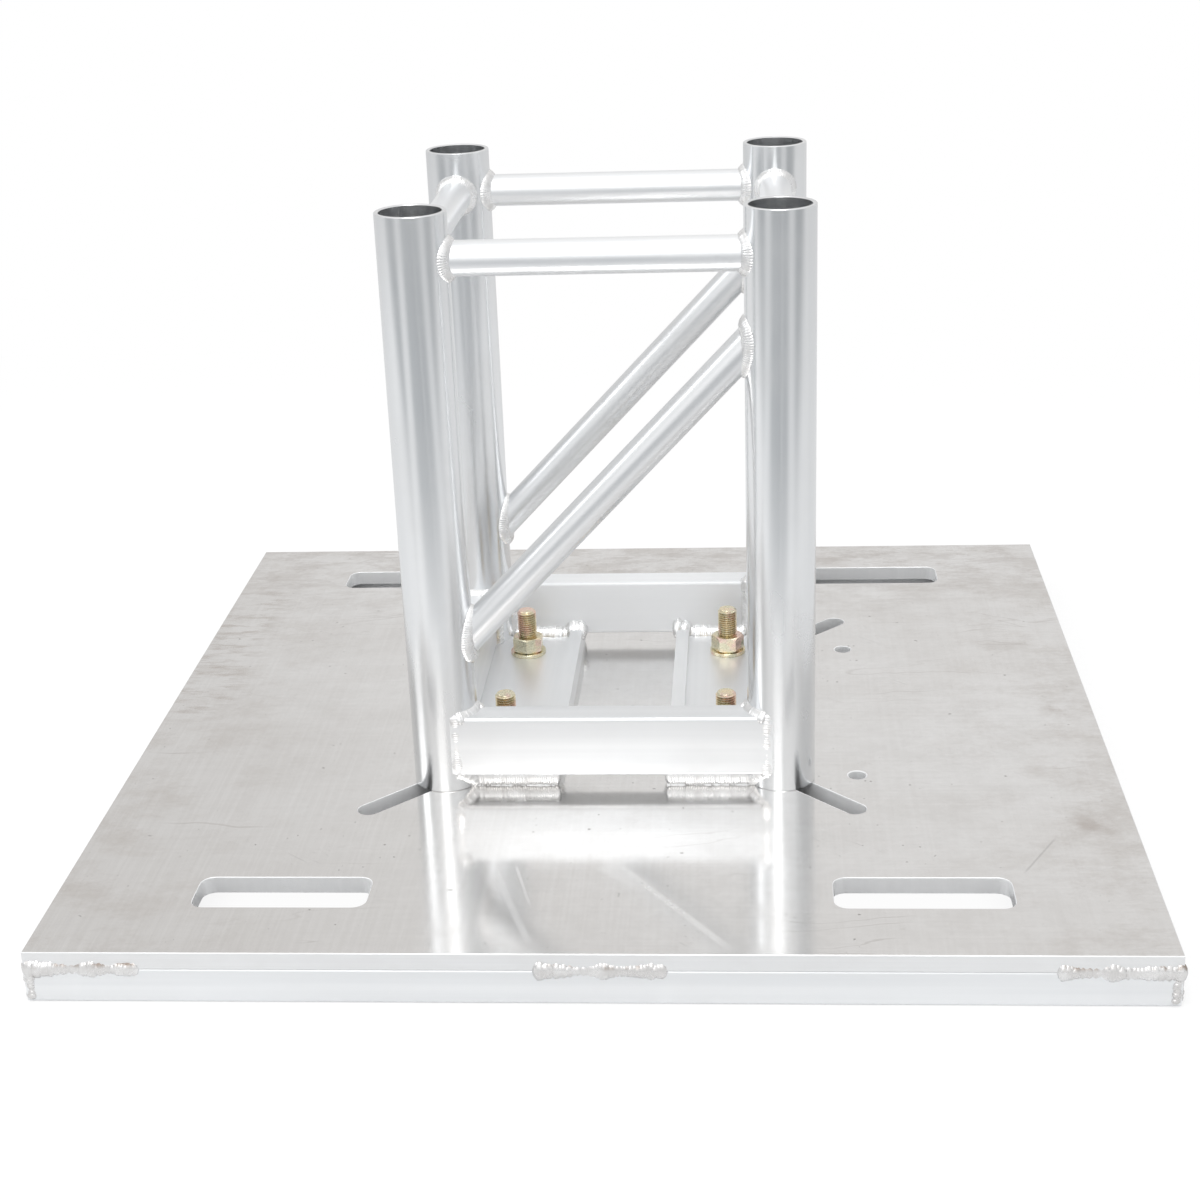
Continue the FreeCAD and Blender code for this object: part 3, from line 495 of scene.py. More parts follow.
def drawn_metal(name, tone, along, rough, purity, turn=(0, 0, 0), heated=False):
    """Drawn tube: die lines along one axis, soft bands and a few handling scratches."""
    material, nodes = start_metal(name)
    fine, broad = [240.0] * 3, [34.0] * 3
    fine[along], broad[along] = 2.2, 0.8
    die_lines = cloud(nodes, 1.0, 3.0, 0.65, fine, turn)
    bands = cloud(nodes, 1.0, 3.0, 0.5, broad, turn).eased(0.32, 0.68)
    handling = cloud(nodes, 12.0, 5.0, 0.6).eased(0.40, 0.72)
    nick_noise = cloud(nodes, 1.0, 1.0, stretch=(30.0, 210.0, 60.0), turn=(0.5, 0.3, 0.9))
    nick_area = cloud(nodes, 24.0, 2.0, shift=(1.3, 0.2, 0.8)).eased(0.60, 0.72)
    nicks = thin_lines(nick_noise, 0.007) * nick_area
    colour = nodes.layers(
        grey(tone, -0.010), (bands, grey(tone * 0.89, -0.016)),
        (die_lines * 0.25, grey(tone * 0.74, -0.020)),
        (handling * 0.12, grey(tone * 0.80, 0.02)), (nicks * 0.16, grey(0.98)))
    roughness = rough + bands * 0.05 + handling * 0.08
    if heated:
        heat = nodes.add("ShaderNodeAttribute", "Fac", {"attribute_name": "heat"})
        patchy = (heat * (0.7 + cloud(nodes, 160.0, 3.0) * 0.6)).kept()
        colour = nodes.layers(colour, (patchy * 0.55, grey(0.97, 0.004)))
        roughness = roughness + patchy * 0.22
    finish_metal(nodes, colour, roughness, die_lines * 0.6, 0.00005, 0.30, purity)
    return material


drawn_tube = (drawn_metal("drawn_tube_across", 0.93, 0, 0.34, 0.85),
              drawn_metal("drawn_tube_lengthways", 0.97, 1, 0.34, 0.85))
for quarter, side in enumerate(SIDES):
    low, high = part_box("under_rail_" + side)
    length_axis, width_axis = quarter % 2, 1 - quarter % 2
    tube_width = high[width_axis] - low[width_axis]
    tube_height = high.z - low.z
    edge = -plate_high[width_axis]
    section = rounded_outline(edge + tube_width / 2, tube_height / 2, tube_width, tube_height, UNDER_ROUND)
    tube_bm = bmesh.new()
    ends = []
    for end in (-1, 1):
        mitred = [(end * (plate_high[length_axis] - (y - edge)), y, z) for y, z in section]
        ends.append([tube_bm.verts.new(quarter_turned(quarter, point)) for point in mitred])
        tube_bm.faces.new(ends[-1])
    band(tube_bm, *ends)
    finish_piece("under_tube_" + side, tube_bm, [drawn_tube[length_axis]], "under_rail_" + side)


# The chords: four lengths of drawn 50 mm tube, cut square at both ends and
# open at the top. Pale heat marks lie round every welded joint.
CHORD_WALL = 0.0032
CHORD_STEPS, CHORD_LEVELS = 96, 110
TUBE_BREAK = 0.0006
chord_low, chord_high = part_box("chord_front_right")
chord_radius = (chord_high.x - chord_low.x) / 2
chord_offset = (chord_high.x + chord_low.x) / 2
chord_top = chord_high.z
cross_low, cross_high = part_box("cross_brace_front")
brace_radius = (cross_high.z - cross_low.z) / 2
cross_height = (cross_high.z + cross_low.z) / 2
diagonal_low = plate_top + 0.0953
diagonal_high = chord_top - 0.075


def on_chord(side_x, side_y, height=0.0):
    """A point on a chord's axis."""
    return Vector((chord_offset * side_x, chord_offset * side_y + truss_back_set, height))


def tube_axes(direction):
    """The level and the upward direction across a tube."""
    sideways = Vector((-direction.y, direction.x, 0)).normalized()
    upward = sideways.cross(direction)
    return sideways, -upward if upward.z < 0 else upward


def saddle_root(centre, direction, angle):
    """Where a brace's skin meets a chord's, and the ways both skins face there."""
    sideways, upward = tube_axes(direction)
    ahead = Vector((sideways.y, -sideways.x, 0))
    radial = sideways * math.cos(angle) + upward * math.sin(angle)
    across = brace_radius * radial.dot(sideways)
    depth = math.sqrt(chord_radius ** 2 - across ** 2)
    travel = (depth - brace_radius * radial.dot(ahead)) / direction.dot(ahead)
    root = centre + radial * brace_radius + direction * travel
    outward = (ahead * depth + sideways * across) / chord_radius
    return root, outward, radial


level_joints, slanted_joints = [], []
for side_x, side_y in CORNERS.values():
    for direction in (Vector((-side_x, 0, 0)), Vector((0, -side_y, 0))):
        level_joints.append((on_chord(side_x, side_y, cross_height), direction))
for side_y in (-1, 1):
    lower, upper = on_chord(-1, side_y, diagonal_low), on_chord(1, side_y, diagonal_high)
    slope = (upper - lower).normalized()
    slanted_joints += [(lower, slope), (upper, -slope)]
joint_roots = [saddle_root(centre, direction, math.tau * step / 20)[0]
               for centre, direction in level_joints + slanted_joints for step in range(20)]


def tag_heat(piece, reach=0.014):
    """Store each point's nearness to a weld's root, nought beyond the reach."""
    points = [vertex.co.copy() for vertex in piece.data.vertices]
    nearest = [min((point - root).length for root in joint_roots) for point in points]
    piece.data.attributes.new("heat", "FLOAT", "POINT").data.foreach_set(
        "value", [max(0.0, 1.0 - gap / reach) ** 0.6 for gap in nearest])


drawn_upright = drawn_metal("drawn_tube_upright", 0.90, 2, 0.17, 1.0, heated=True)
chord_inner = chord_radius - CHORD_WALL
chord_profile = [(chord_radius - TUBE_BREAK, plate_top)]
for step in range(CHORD_LEVELS + 1):
    rise = (chord_top - plate_top - 2 * TUBE_BREAK) * step / CHORD_LEVELS
    chord_profile.append((chord_radius, plate_top + TUBE_BREAK + rise))
chord_profile += [(chord_radius - TUBE_BREAK, chord_top), (chord_inner + TUBE_BREAK, chord_top),
                  (chord_inner, chord_top - TUBE_BREAK), (chord_inner, plate_top + TUBE_BREAK),
                  (chord_inner + TUBE_BREAK, plate_top)]
for corner, sides in CORNERS.items():
    centre = on_chord(*sides)
    chord_bm = bmesh.new()
    turned = [[chord_bm.verts.new((x, y, height))
               for x, y in ring_points(radius, CHORD_STEPS, centre.x, centre.y)]
              for radius, height in chord_profile]
    for first, last in zip(turned, turned[1:] + turned[:1]):
        band(chord_bm, first, last)
    chord = finish_piece("chord_tube_" + corner, chord_bm, [drawn_upright], "chord_" + corner)
    tag_heat(chord)


# The braces: drawn 25 mm tube, level near the top of every side and slanted on
# the front and rear. Each end is coped to sit on its chord and welded round.
COPE_SINK = 0.0012
BRACE_STEPS = 64


def coped_tube(name, corner_a, corner_b, start, direction, section, steps, material, node):
    """A tube from one chord to another; its section is points across its axis."""
    sideways, upward = tube_axes(direction)
    flat = Vector((direction.x, direction.y))
    bm = bmesh.new()
    lines = []
    for across, up in section:
        origin = start + sideways * across + upward * up
        reach = []
        for corner, sign in ((corner_a, 1), (corner_b, -1)):
            offset = (origin - on_chord(*CORNERS[corner])).xy
            along = offset.dot(flat)
            gap = offset.dot(offset) - chord_radius ** 2
            half_chord = math.sqrt(max(along ** 2 - flat.dot(flat) * gap, 0.0))
            reach.append((sign * half_chord - along) / flat.dot(flat) - sign * COPE_SINK)
        near, far = reach
        lines.append([bm.verts.new(origin + direction * (near + (far - near) * step / steps))
                      for step in range(steps + 1)])
    for line, following in zip(lines, lines[1:] + lines[:1]):
        for step in range(steps):
            bm.faces.new((line[step], line[step + 1], following[step + 1], following[step]))
    for end in (0, -1):
        bm.faces.new([line[end] for line in lines])
    return finish_piece(name, bm, [material], node)


slope = slanted_joints[0][1]
brace_across = drawn_metal("drawn_brace_across", 0.97, 0, 0.33, 0.88, heated=True)
brace_lengthways = drawn_metal("drawn_brace_lengthways", 0.97, 1, 0.33, 0.88, heated=True)
brace_slanted = drawn_metal("drawn_brace_slanted", 0.86, 0, 0.28, 0.92,
                            (0, math.atan2(slope.z, slope.x), 0), heated=True)
brace_section = ring_points(brace_radius, BRACE_STEPS)
side_runs = {
    "front": ("front_left", "front_right", Vector((1, 0, 0)), brace_across),
    "rear": ("rear_left", "rear_right", Vector((1, 0, 0)), brace_across),
    "left": ("front_left", "rear_left", Vector((0, 1, 0)), brace_lengthways),
    "right": ("front_right", "rear_right", Vector((0, 1, 0)), brace_lengthways),
}
for side, (corner_a, corner_b, direction, material) in side_runs.items():
    start = on_chord(*CORNERS[corner_a], cross_height)
    tag_heat(coped_tube("level_brace_" + side, corner_a, corner_b, start, direction,
                        brace_section, 70, material, "cross_brace_" + side))
for side in ("front", "rear"):
    start = on_chord(*CORNERS[side + "_left"], diagonal_low)
    tag_heat(coped_tube("slanted_brace_" + side, side + "_left", side + "_right", start, slope,
                        brace_section, 90, brace_slanted, "diagonal_brace_" + side))


# The base rails: flat drawn tube on edge between the chords' feet, with round
# corners, coped and welded at both ends.
RAIL_ROUND = 0.0032
rail_low, rail_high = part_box("base_rail_front")
rail_height = rail_high.z - rail_low.z
rail_thick = rail_high.y - rail_low.y
rail_section = rounded_outline(0, 0, rail_thick, rail_height, RAIL_ROUND)
rail_lengthways = drawn_metal("drawn_rail_lengthways", 0.98, 1, 0.30, 0.60)
# The rear rail's copy is white and mostly diffuse, unlike the front rail's: painted light on its face, which
# lies in the shade of the front rail and chords.
rail_metals = {"front": drawn_metal("drawn_rail_across", 0.88, 0, 0.28, 0.62),
               "rear": drawn_metal("drawn_rail_rear_painted_light", 1.0, 0, 0.30, 0.15),
               "left": rail_lengthways, "right": rail_lengthways}
for side, (corner_a, corner_b, direction, _) in side_runs.items():
    low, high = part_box("base_rail_" + side)
    coped_tube("base_tube_" + side, corner_a, corner_b, (low + high) / 2, direction, rail_section, 1,
               rail_metals[side], "base_rail_" + side)


# The feet: thick plates with a raised lip, cut from extrusion, with lines along their length, bolted and
# welded below the rails. Their side faces get a paler, mostly diffuse copy of the metal: painted light that
# brightens them.
foot_metals = (drawn_metal("foot_extrusion", 0.95, 1, 0.36, 0.75),
               drawn_metal("foot_flank_painted_light", 1.0, 1, 0.34, 0.15))
for side in ("left", "right"):
    foot_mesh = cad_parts["foot_" + side].data
    foot_mesh.materials.clear()
    for material in foot_metals:
        foot_mesh.materials.append(material)
    for polygon in foot_mesh.polygons:
        polygon.material_index = 1 if abs(polygon.normal.x) > 0.9 else 0


# Weld beads: hand-laid runs of overlapping ripples. Each run is a line along
# the root of the joint, and every ripple is one flattened drop of metal.
BRACE_RIPPLES = {"Ripple Pitch": 0.0017, "Ripple Depth": 0.46, "Height": 0.56, "Lean": 0.95,
                 "Unevenness": 0.05}
BRACE_BEAD = 0.0059


def weld_metal(name, soot):
    """Bright rippled weld metal, with brown soot along its top where wanted."""
    material, nodes = start_metal(name)
    patches = cloud(nodes, 130.0, 4.0, 0.6)
    fine = cloud(nodes, 900.0, 3.0, 0.6)
    colour = nodes.layers(grey(0.93), (patches.eased(0.35, 0.7), grey(0.78, 0.006)))
    roughness = 0.18 + patches * 0.20
    if soot:
        _, _, z = nodes.split(nodes.place())
        upper_side = z.eased(plate_low.z + 0.0005, plate_low.z + 0.0045)
        dusty = cloud(nodes, 48.0, 4.0, 0.6).eased(0.38, 0.60)
        burnt = upper_side * cloud(nodes, 62.0, 4.0, 0.6).eased(0.50, 0.62)
        colour = nodes.layers(colour, (0.40 + dusty * 0.40, (0.66, 0.645, 0.635, 1)),
                              (burnt * 0.75, (0.28, 0.205, 0.155, 1)))
        roughness = roughness + burnt * 0.35
    finish_metal(nodes, colour, roughness, fine, 0.0001, 0.4)
    return material


def shape_tree(name, **inputs):
    """A geometry tree with named inputs; returns its nodes and its input wires."""
    tree = bpy.data.node_groups.new(name, "GeometryNodeTree")
    nodes = Nodes(tree)
    tree.interface.new_socket("Geometry", in_out="INPUT", socket_type="NodeSocketGeometry")
    for title, kind in inputs.items():
        tree.interface.new_socket(title, in_out="INPUT", socket_type="NodeSocket" + kind)
    tree.interface.new_socket("Geometry", in_out="OUTPUT", socket_type="NodeSocketGeometry")
    given = tree.nodes.new("NodeGroupInput").outputs
    return nodes, {socket.name: Wire(tree, socket) for socket in given}


def end_shape(nodes, instances, material):
    """Make the laid copies real, give them their metal and end the tree."""
    real = nodes.add("GeometryNodeRealizeInstances", Geometry=instances)
    smooth = nodes.add("GeometryNodeSetShadeSmooth", Geometry=real)
    nodes.add("NodeGroupOutput", i0=nodes.add("GeometryNodeSetMaterial", Geometry=smooth, Material=material))
    return nodes.tree


def ripple_tree():
    """Geometry nodes that lay a ripple at every step along each run."""
    nodes, given = shape_tree("lay_ripples", **{
        "Ripple Pitch": "Float", "Ripple Depth": "Float", "Height": "Float", "Lean": "Float",
        "Unevenness": "Float", "Seed": "Int", "Metal": "Material"})
    vector = "ShaderNodeVectorMath"
    scale, add, multiply = ({"operation": name} for name in ("SCALE", "ADD", "MULTIPLY"))
    runs = nodes.add("GeometryNodeMeshToCurve", Mesh=given["Geometry"])
    steps = nodes.add("GeometryNodeResampleCurve", 0, {"mode": "LENGTH"}, Curve=runs,
                      Length=given["Ripple Pitch"])
    along = nodes.add("GeometryNodeInputTangent")
    outward = nodes.add("GeometryNodeInputNamedAttribute", 0, {"data_type": "FLOAT_VECTOR"}, Name="outward")
    reach = nodes.add("GeometryNodeInputNamedAttribute", 0, {"data_type": "FLOAT"}, Name="reach")
    jitter = nodes.add("FunctionNodeRandomValue", 0, {"data_type": "FLOAT_VECTOR"},
                       i0=(-1, -1, -1), i1=(1, 1, 1), Seed=given["Seed"])
    uneven = nodes.add(vector, 0, scale, i0=jitter, Scale=given["Unevenness"])
    swell = nodes.add(vector, 0, add, i0=uneven, i1=(1, 1, 1))
    leaning = nodes.add(vector, 0, scale, i0=outward, Scale=given["Lean"])
    heading = nodes.add(vector, 0, add, i0=along, i1=leaning)
    facing = nodes.add("FunctionNodeAlignRotationToVector", 0, {"axis": "Z"}, Vector=heading)
    turn = nodes.add("FunctionNodeAlignRotationToVector", 0, {"axis": "X", "pivot_axis": "Z"},
                     Rotation=facing, Vector=outward)
    flat = nodes.join(given["Height"], 1.0, given["Ripple Depth"])
    drop_size = nodes.add(vector, 0, scale, i0=nodes.add(vector, 0, multiply, i0=flat, i1=swell), Scale=reach)
    drop = nodes.add("GeometryNodeMeshUVSphere", Segments=12, Rings=6, Radius=1.0)
    laid = nodes.add("GeometryNodeInstanceOnPoints", Points=steps, Instance=drop, Rotation=turn,
                     Scale=drop_size)
    return end_shape(nodes, laid, given["Metal"])


lay_ripples = ripple_tree()


def solved_mesh(name, guide, tree, **inputs):
    """Run a geometry tree on a guide mesh and keep the result as a plain mesh."""
    holder = bpy.data.objects.new(name + "_guide", guide)
    bpy.context.scene.collection.objects.link(holder)
    modifier = holder.modifiers.new("shape", "NODES")
    modifier.node_group = tree
    for item in tree.interface.items_tree:
        if item.item_type == "SOCKET" and item.in_out == "INPUT" and item.name in inputs:
            modifier[item.identifier] = inputs[item.name]
    bpy.context.view_layer.update()
    mesh = bpy.data.meshes.new_from_object(holder.evaluated_get(bpy.context.evaluated_depsgraph_get()))
    mesh.name = name
    bpy.data.objects.remove(holder)
    return mesh


def weld_piece(name, runs, node, material, seed, **ripples):
    """One piece of ripples; a run is (points, outward vectors, radii, closed)."""
    verts, edges, outward, reach = [], [], [], []
    for points, outs, radii, closed in runs:
        base, count = len(verts), len(points)
        verts += points
        outward += outs
        reach += radii
        edges += [(base + step, base + step + 1) for step in range(count - 1)]
        if closed:
            edges.append((base + count - 1, base))
    lines = bpy.data.meshes.new(name + "_runs")
    lines.from_pydata(verts, edges, [])
    lines.attributes.new("outward", "FLOAT_VECTOR", "POINT").data.foreach_set(
        "vector", [value for vector in outward for value in vector])
    lines.attributes.new("reach", "FLOAT", "POINT").data.foreach_set("value", reach)
    inputs = {**BRACE_RIPPLES, **{key.replace("_", " "): value for key, value in ripples.items()}}
    add_piece(name, solved_mesh(name, lines, lay_ripples, Seed=seed, Metal=material, **inputs), node)


def saddle_run(centre, direction, steps=72):
    """A closed run round a brace's cope, thicker where the two skins open wider."""
    points, outs, radii = [], [], []
    for step in range(steps):
        root, outward, radial = saddle_root(centre, direction, math.tau * step / steps)
        bisector = (outward + radial).normalized()
        opening = math.acos(max(-1.0, min(1.0, -outward.dot(radial))))
        points.append(root + bisector * 0.0004)
        outs.append(bisector)
        radii.append(BRACE_BEAD * (1.22 - 0.30 * math.cos(opening / 2)))
    return points, outs, radii, True


bright_weld = weld_metal("bright_weld", False)
weld_piece("level_brace_welds", [saddle_run(*joint) for joint in level_joints],
           "cross_brace_welds", bright_weld, 3)
weld_piece("slanted_brace_welds", [saddle_run(*joint) for joint in slanted_joints],
           "diagonal_brace_welds", bright_weld, 5)


# Welds at the base rails' ends, up the sides of each rail and over its top.
# Each weld fills the gap between a rail's flat face and the chord's round.
INNER_BEAD, OUTER_BEAD, SIDE_BEAD, TOP_BEAD = 0.0078, 0.0070, 0.0074, 0.0066
STAND_OFF = 0.0004


def straight_run(start, end, outward, radius, wobble=0.0, phase=0.0, lumps=0.05, steps=24):
    """A run between two points, its thickness wavering a little."""
    start, end, outward = Vector(start), Vector(end), Vector(outward).normalized()
    points, radii = [], []
    for step in range(steps + 1):
        share = step / steps
        wave = math.sin(share * 9.0 + phase) + 0.6 * math.sin(share * 23.0 + 2 * phase)
        points.append(start.lerp(end, share) + outward * wobble * wave)
        radii.append(radius * (1 + lumps * math.sin(share * 14.0 + phase)))
    return points, [outward] * (steps + 1), radii, False


def quarter_run(quarter, run, set_back=0.0):
    """A run turned by quarters about the middle of plate or truss."""
    points, outs, radii, closed = run
    points = [quarter_turned(quarter, point) + Vector((0, set_back, 0)) for point in points]
    return points, [quarter_turned(quarter, out) for out in outs], radii, closed


def rail_top_run(end, span, inset=0.003, steps=18):
    """A run over a rail's top, round the chord it meets."""
    points, outs = [], []
    widest = chord_radius * 0.985
    for step in range(steps + 1):
        across = span[0] + inset + (span[1] - span[0] - inset) * step / steps
        across = max(-widest, min(widest, across))
        normal = Vector((-end * math.sqrt(chord_radius ** 2 - across ** 2), across, 0)) / chord_radius
        outs.append((normal + Vector((0, 0, 1))).normalized())
        corner = Vector((chord_offset * end, -chord_offset, rail_high.z))
        points.append(corner + normal * chord_radius + outs[-1] * 0.0003)
    return points, outs, [TOP_BEAD] * (steps + 1), False


rail_face = chord_radius - (rail_low.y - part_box("chord_front_left")[0].y)
rail_runs = []
for quarter in range(len(SIDES)):
    for end in (-1, 1):
        if quarter % 2:
            half = rail_thick / 2
            inward = math.sqrt(chord_radius ** 2 - half ** 2)
            spots = [(inward, half * face, (-end, face, 0), SIDE_BEAD, STAND_OFF) for face in (-1, 1)]
            span = (-half, half)
        else:
            spots = [(0.0110, 0.0030 - rail_face, (0, -1, 0), OUTER_BEAD, 0.0),
                     (chord_radius, rail_thick - rail_face, (-end, 1, 0), INNER_BEAD, STAND_OFF)]
            span = (-rail_face, rail_thick - rail_face)
        for index, (inward, across, facing, bead, stand_off) in enumerate(spots):
            out = Vector(facing).normalized()
            spot = Vector((end * (chord_offset - inward), across - chord_offset, 0)) + out * stand_off
            ends = [spot + Vector((0, 0, height)) for height in (rail_low.z + 0.002, rail_high.z - 0.001)]
            run = straight_run(*ends, out, bead, 0.0002, quarter + end + index)
            rail_runs.append(quarter_run(quarter, run, truss_back_set))
        rail_runs.append(quarter_run(quarter, rail_top_run(end, span), truss_back_set))
weld_piece("base_tube_welds", rail_runs, "base_rail_welds", bright_weld, 7, Height=0.46, Lean=0.80)


# Welds at the feet: ripples along the rails, thick runs in the step below the
# front and rear rails, and a blob at each end of a lip.
LIP_MIDDLE, LIP_WIDE = 0.0054, 0.0108
foot_low, foot_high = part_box("foot_right")
foot_floor = rail_low.z
foot_end = foot_low.y - truss_back_set
rail_outer = rail_low.y - truss_back_set
rail_inner = rail_high.y - truss_back_set
chord_inside = chord_offset - chord_radius
foot_runs = []
for side_y in (1, -1):
    for side_x in (-1, 1):
        phase = side_x + 2 * side_y
        lip = foot_low.x + LIP_MIDDLE
        # In turn: along a rail's inner face, in the step below it, over the end
        # of a lip, and down beside a chord.
        for start, end, facing, bead, wobble, shift, lumps in (
                ((foot_low.x + LIP_WIDE, rail_inner + 0.0016, foot_floor + 0.0016),
                 (chord_inside - 0.003, rail_inner + 0.0016, foot_floor + 0.0016),
                 (0, 1, 1), 0.0084, 0.0004, 0, 0.10),
                ((foot_low.x + 0.002, foot_end + 0.0014, foot_floor - 0.0052),
                 (chord_inside + 0.003, foot_end + 0.0014, foot_floor - 0.0052),
                 (0, -1, 0), 0.0080, 0.0002, 1, 0.05),
                ((lip - 0.004, rail_inner + 0.001, foot_high.z - 0.001),
                 (lip + 0.004, rail_inner + 0.001, foot_high.z - 0.002),
                 (0, 1, 1), 0.0108, 0.0008, 2, 0.12),
                ((chord_offset - 0.0125, rail_outer + 0.0035, foot_floor + 0.001),
                 (chord_inside + 0.001, foot_end + 0.001, plate_top + 0.0035),
                 (0, -1, 0), 0.0062, 0.0002, 0, 0.05)):
            ends = [(x * side_x, y, z) for x, y, z in (start, end)]
            points, outs, radii, closed = straight_run(*ends, facing, bead, wobble, phase + shift, lumps)
            points = [Vector((point.x, point.y * side_y + truss_back_set, point.z)) for point in points]
            outs = [Vector((out.x, out.y * side_y, out.z)) for out in outs]
            foot_runs.append((points, outs, radii, closed))
weld_piece("foot_weld_runs", foot_runs, "foot_welds", bright_weld, 11, Ripple_Depth=0.42, Height=0.58,
           Lean=0.85, Unevenness=0.07)


# Stitch welds in the seam under the plate, lumpy and smoked along their top,
# and the upright welds that close the mitred corners.
STITCH_INSET, STITCH_BEAD = 0.0025, 0.0062
CORNER_INSET, CORNER_BEAD = 0.0024, 0.0048
half, edge, seam = plate_high.x, -plate_high.y, plate_low.z
stitches = ((0.002 - half, 0.074 - half), (-0.035, 0.045), (half - 0.076, half - 0.002))
stitch_runs = []
for quarter in range(len(SIDES)):
    for index, reach in enumerate(stitches):
        ends = [(x, edge + STITCH_INSET, seam - 0.0003) for x in reach]
        run = straight_run(*ends, (0, -1, 0), STITCH_BEAD, 0.0006, quarter * 2.0 + index, 0.16)
        stitch_runs.append(quarter_run(quarter, run))
    ends = [(half - CORNER_INSET, edge + CORNER_INSET, height) for height in (0.0045, seam - 0.002)]
    run = straight_run(*ends, (1, -1, 0), CORNER_BEAD, 0.0003, quarter * 3.0)
    stitch_runs.append(quarter_run(quarter, run))
weld_piece("under_frame_welds", stitch_runs, "under_rail_welds", weld_metal("sooty_weld", True), 17,
           Ripple_Pitch=0.0022, Ripple_Depth=0.70, Height=0.66, Lean=0.90, Unevenness=0.16)


# Fasteners: M16 bolts up through plate and foot, with washers and nuts, all
# yellow zinc plated with a faint green and pink bloom.
BOLT_SPACING = 0.172
BOLT_RADIUS = 0.008
BOLT_STEPS = 40
THREAD_PITCH = 0.002
THREAD_DEPTH = 0.0012
TIP_CHAMFER = 0.0016
HEX_ACROSS = 0.024
WASHER_REACH, WASHER_BORE, WASHER_BREAK = 0.015, 0.0085, 0.0003
bolt_low, bolt_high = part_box("bolts")
nut_low, nut_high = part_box("nuts")
washer_low, washer_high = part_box("washers")
bolt_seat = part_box("under_rail_front")[1].z
thread_start = washer_high.z - 0.001


def zinc_metal():
    """Yellow zinc plating, with painted shade in the thread roots."""
    material, nodes = start_metal("yellow_zinc")
    tint = cloud(nodes, 95.0, 3.0, 0.5)
    second = cloud(nodes, 70.0, 3.0, 0.5, shift=(2.0, 1.0, 3.0))
    fine = cloud(nodes, 700.0, 3.0, 0.6)
    # Painted shade: the thread roots are darkened in the colour.
    root = nodes.add("ShaderNodeAttribute", "Fac", {"attribute_name": "thread_root_painted_shade"})
    colour = nodes.layers(
        (0.86, 0.74, 0.52, 1), (tint.eased(0.38, 0.62), (0.76, 0.72, 0.54, 1)),
        (second.eased(0.48, 0.62) * 0.8, (0.88, 0.63, 0.56, 1)), (root * 0.50, (0.42, 0.33, 0.18, 1)))
    finish_metal(nodes, colour, 0.20 + fine * 0.14, fine, 0.0001, 0.3)
    return material


def hexagon_rings(low, high, bore, trim_low, trim_high, steps=144):
    """Profile rings of a hexagon whose rims are cut back by a flat cone."""
    trim = HEX_ACROSS / 2 * 0.96
    columns = []
    for step in range(steps):
        angle = math.tau * step / steps
        reach = HEX_ACROSS / 2 / math.cos(math.radians(math.degrees(angle) % 60 - 30))
        cut = max(0.0, reach - trim) * math.tan(math.radians(30))
        profile = [(bore, low), (trim, low), (reach, low + cut * trim_low),
                   (reach, high - cut * trim_high), (trim, high), (bore, high)]
        columns.append([(radius * math.cos(angle), radius * math.sin(angle), height)
                        for radius, height in profile])
    return zip(*columns)


def turned_mesh(name, rings, closed, crease=28):
    """A mesh from profile rings, closed round a bore or capped at both ends."""
    bm = bmesh.new()
    rows = [[bm.verts.new(point) for point in ring] for ring in rings]
    for first, last in zip(rows, rows[1:] + (rows[:1] if closed else [])):
        band(bm, first, last)
    if not closed:
        bm.faces.new(rows[0])
        bm.faces.new(rows[-1])
    return shaded_mesh(name, bm, crease)


def threaded_shank(bm, low, high, steps=BOLT_STEPS):
    """A screw thread: a profile of shares of the pitch and depths, swept up a helix."""
    profile = [(0.0, 1.0), (0.22, 0.0), (0.36, 0.0), (0.58, 1.0), (0.80, 1.0), (1.0, 1.0)]
    turns = int((high - low) / THREAD_PITCH) + 2
    columns = []
    for step in range(turns * steps + 1):
        angle = math.tau * step / steps
        column = []
        for share, depth in profile:
            height = max(low, min(high, low + THREAD_PITCH * (step / steps + share - 1.0)))
            taper = max(0.0, 1.0 - (high - height) / TIP_CHAMFER)
            radius = BOLT_RADIUS - max(THREAD_DEPTH * depth, TIP_CHAMFER * taper)
            column.append(bm.verts.new((radius * math.cos(angle), radius * math.sin(angle), height)))
        columns.append(column)
    for first, last in zip(columns, columns[1:]):
        for step in range(len(profile) - 1):
            bm.faces.new((first[step], last[step], last[step + 1], first[step + 1]))
    bm.faces.new([bm.verts.new((x, y, high)) for x, y in ring_points(BOLT_RADIUS - TIP_CHAMFER, steps)])


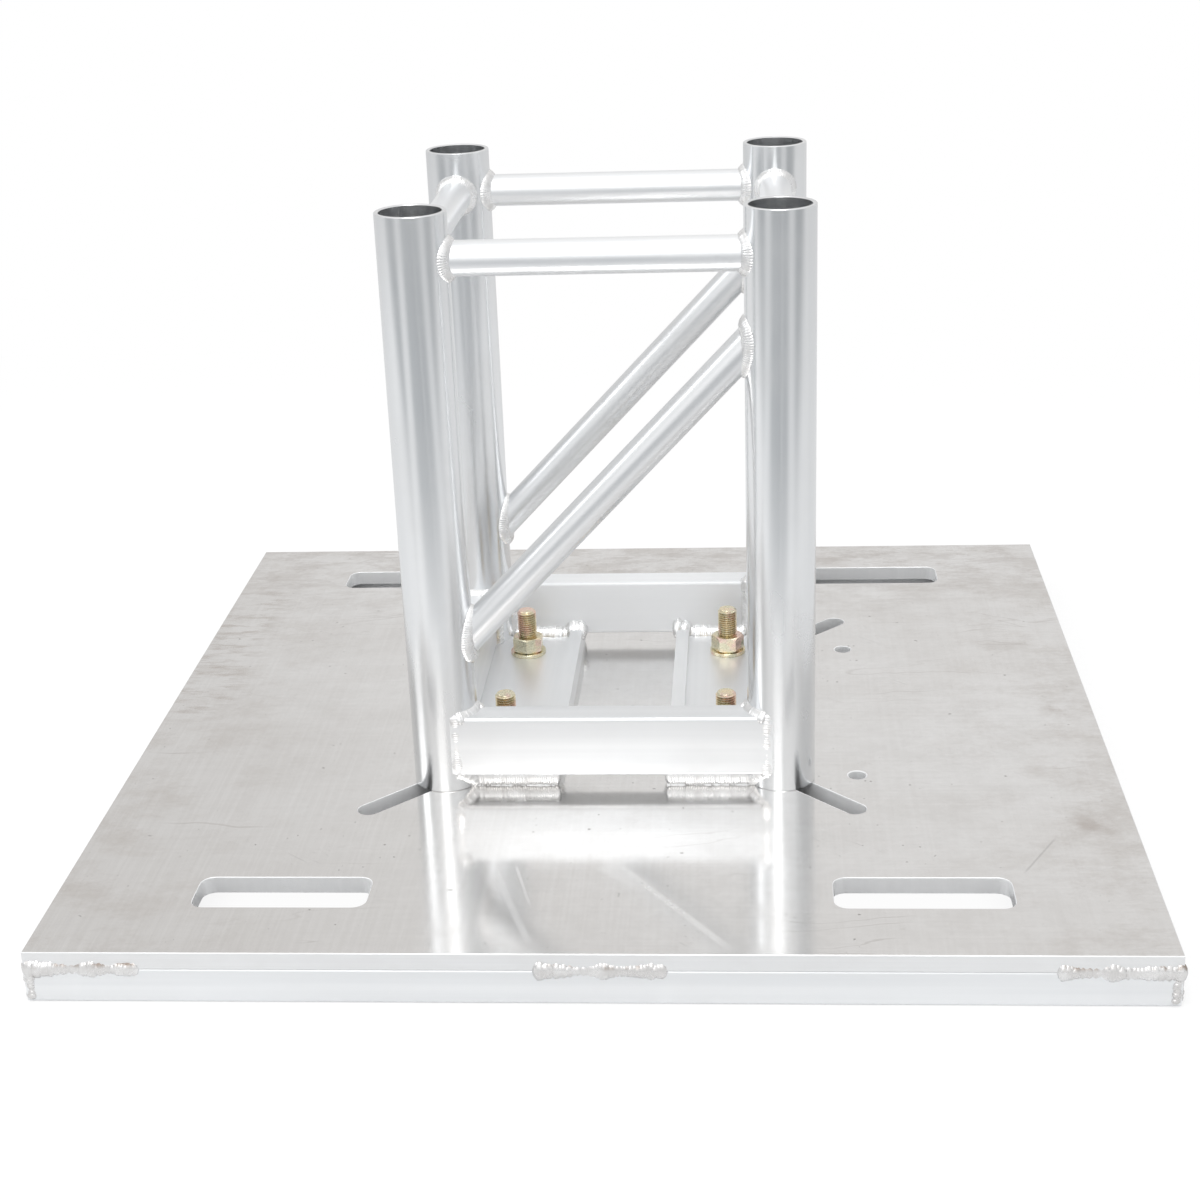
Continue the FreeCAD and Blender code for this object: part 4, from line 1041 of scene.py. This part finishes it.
def bolt_mesh():
    """Hexagon head below the plate, threaded shank above it."""
    shank_rings = [[(x, y, height) for x, y in ring_points(BOLT_RADIUS, BOLT_STEPS)]
                   for height in (bolt_seat - 0.001, thread_start)]
    bm = bmesh.new()
    bm.from_mesh(turned_mesh("bolt_head", hexagon_rings(bolt_low.z, bolt_seat, 0.0002, 1, 0), False))
    bm.from_mesh(turned_mesh("bolt_shank", shank_rings, False))
    threaded_shank(bm, thread_start, bolt_high.z)
    bmesh.ops.remove_doubles(bm, verts=bm.verts, dist=0.000002)
    bmesh.ops.dissolve_degenerate(bm, edges=bm.edges, dist=0.000002)
    mesh = shaded_mesh("bolt", bm, 38, turn_out=False)
    # Mark the thread roots for the painted shade in the plating.
    root_radius = BOLT_RADIUS - THREAD_DEPTH * 0.8
    roots = [float(thread_start < vertex.co.z < bolt_high.z - 0.002 and vertex.co.xy.length < root_radius)
             for vertex in mesh.vertices]
    mesh.attributes.new("thread_root_painted_shade", "FLOAT", "POINT").data.foreach_set("value", roots)
    return mesh


def set_out_tree():
    """Geometry nodes that stand one fastener on each marked point."""
    nodes, given = shape_tree("set_out_fasteners", Fastener="Object", Plating="Material")
    fetched = nodes.add("GeometryNodeObjectInfo", "Geometry", Object=given["Fastener"])
    heading = nodes.add("GeometryNodeInputNamedAttribute", 0, {"data_type": "FLOAT"}, Name="turn")
    stood = nodes.add("GeometryNodeInstanceOnPoints", Points=given["Geometry"], Instance=fetched,
                      Rotation=nodes.join(0.0, 0.0, heading))
    return end_shape(nodes, stood, given["Plating"])


set_out = set_out_tree()
yellow_zinc = zinc_metal()


def fastener_piece(name, template_mesh, turns, node):
    """One piece holding the same fastener at all four corners."""
    template = bpy.data.objects.new(name + "_template", template_mesh)
    bpy.context.scene.collection.objects.link(template)
    marks = bpy.data.meshes.new(name + "_marks")
    half = BOLT_SPACING / 2
    marks.from_pydata([(half * x, half * y + truss_back_set, 0) for x, y in CORNERS.values()], [], [])
    marks.attributes.new("turn", "FLOAT", "POINT").data.foreach_set("value", [math.radians(t) for t in turns])
    mesh = solved_mesh(name, marks, set_out, Fastener=template, Plating=yellow_zinc)
    bpy.data.objects.remove(template)
    add_piece(name, mesh, node)


fastener_piece("hex_bolts", bolt_mesh(), (12, 29, 46, 63), "bolts")
nut_rings = hexagon_rings(nut_low.z, nut_high.z, BOLT_RADIUS + 0.0001, 1, 1)
fastener_piece("hex_nuts", turned_mesh("nut", nut_rings, True), (0, 30, 60, 90), "nuts")
washer_profile = ((WASHER_BORE, washer_low.z), (WASHER_REACH - WASHER_BREAK, washer_low.z),
                  (WASHER_REACH, washer_low.z + WASHER_BREAK), (WASHER_REACH, washer_high.z - WASHER_BREAK),
                  (WASHER_REACH - WASHER_BREAK, washer_high.z), (WASHER_BORE, washer_high.z))
washer_rings = [[(x, y, height) for x, y in ring_points(radius, 96)] for radius, height in washer_profile]
fastener_piece("flat_washers", turned_mesh("washer", washer_rings, True), (0, 0, 0, 0), "washers")
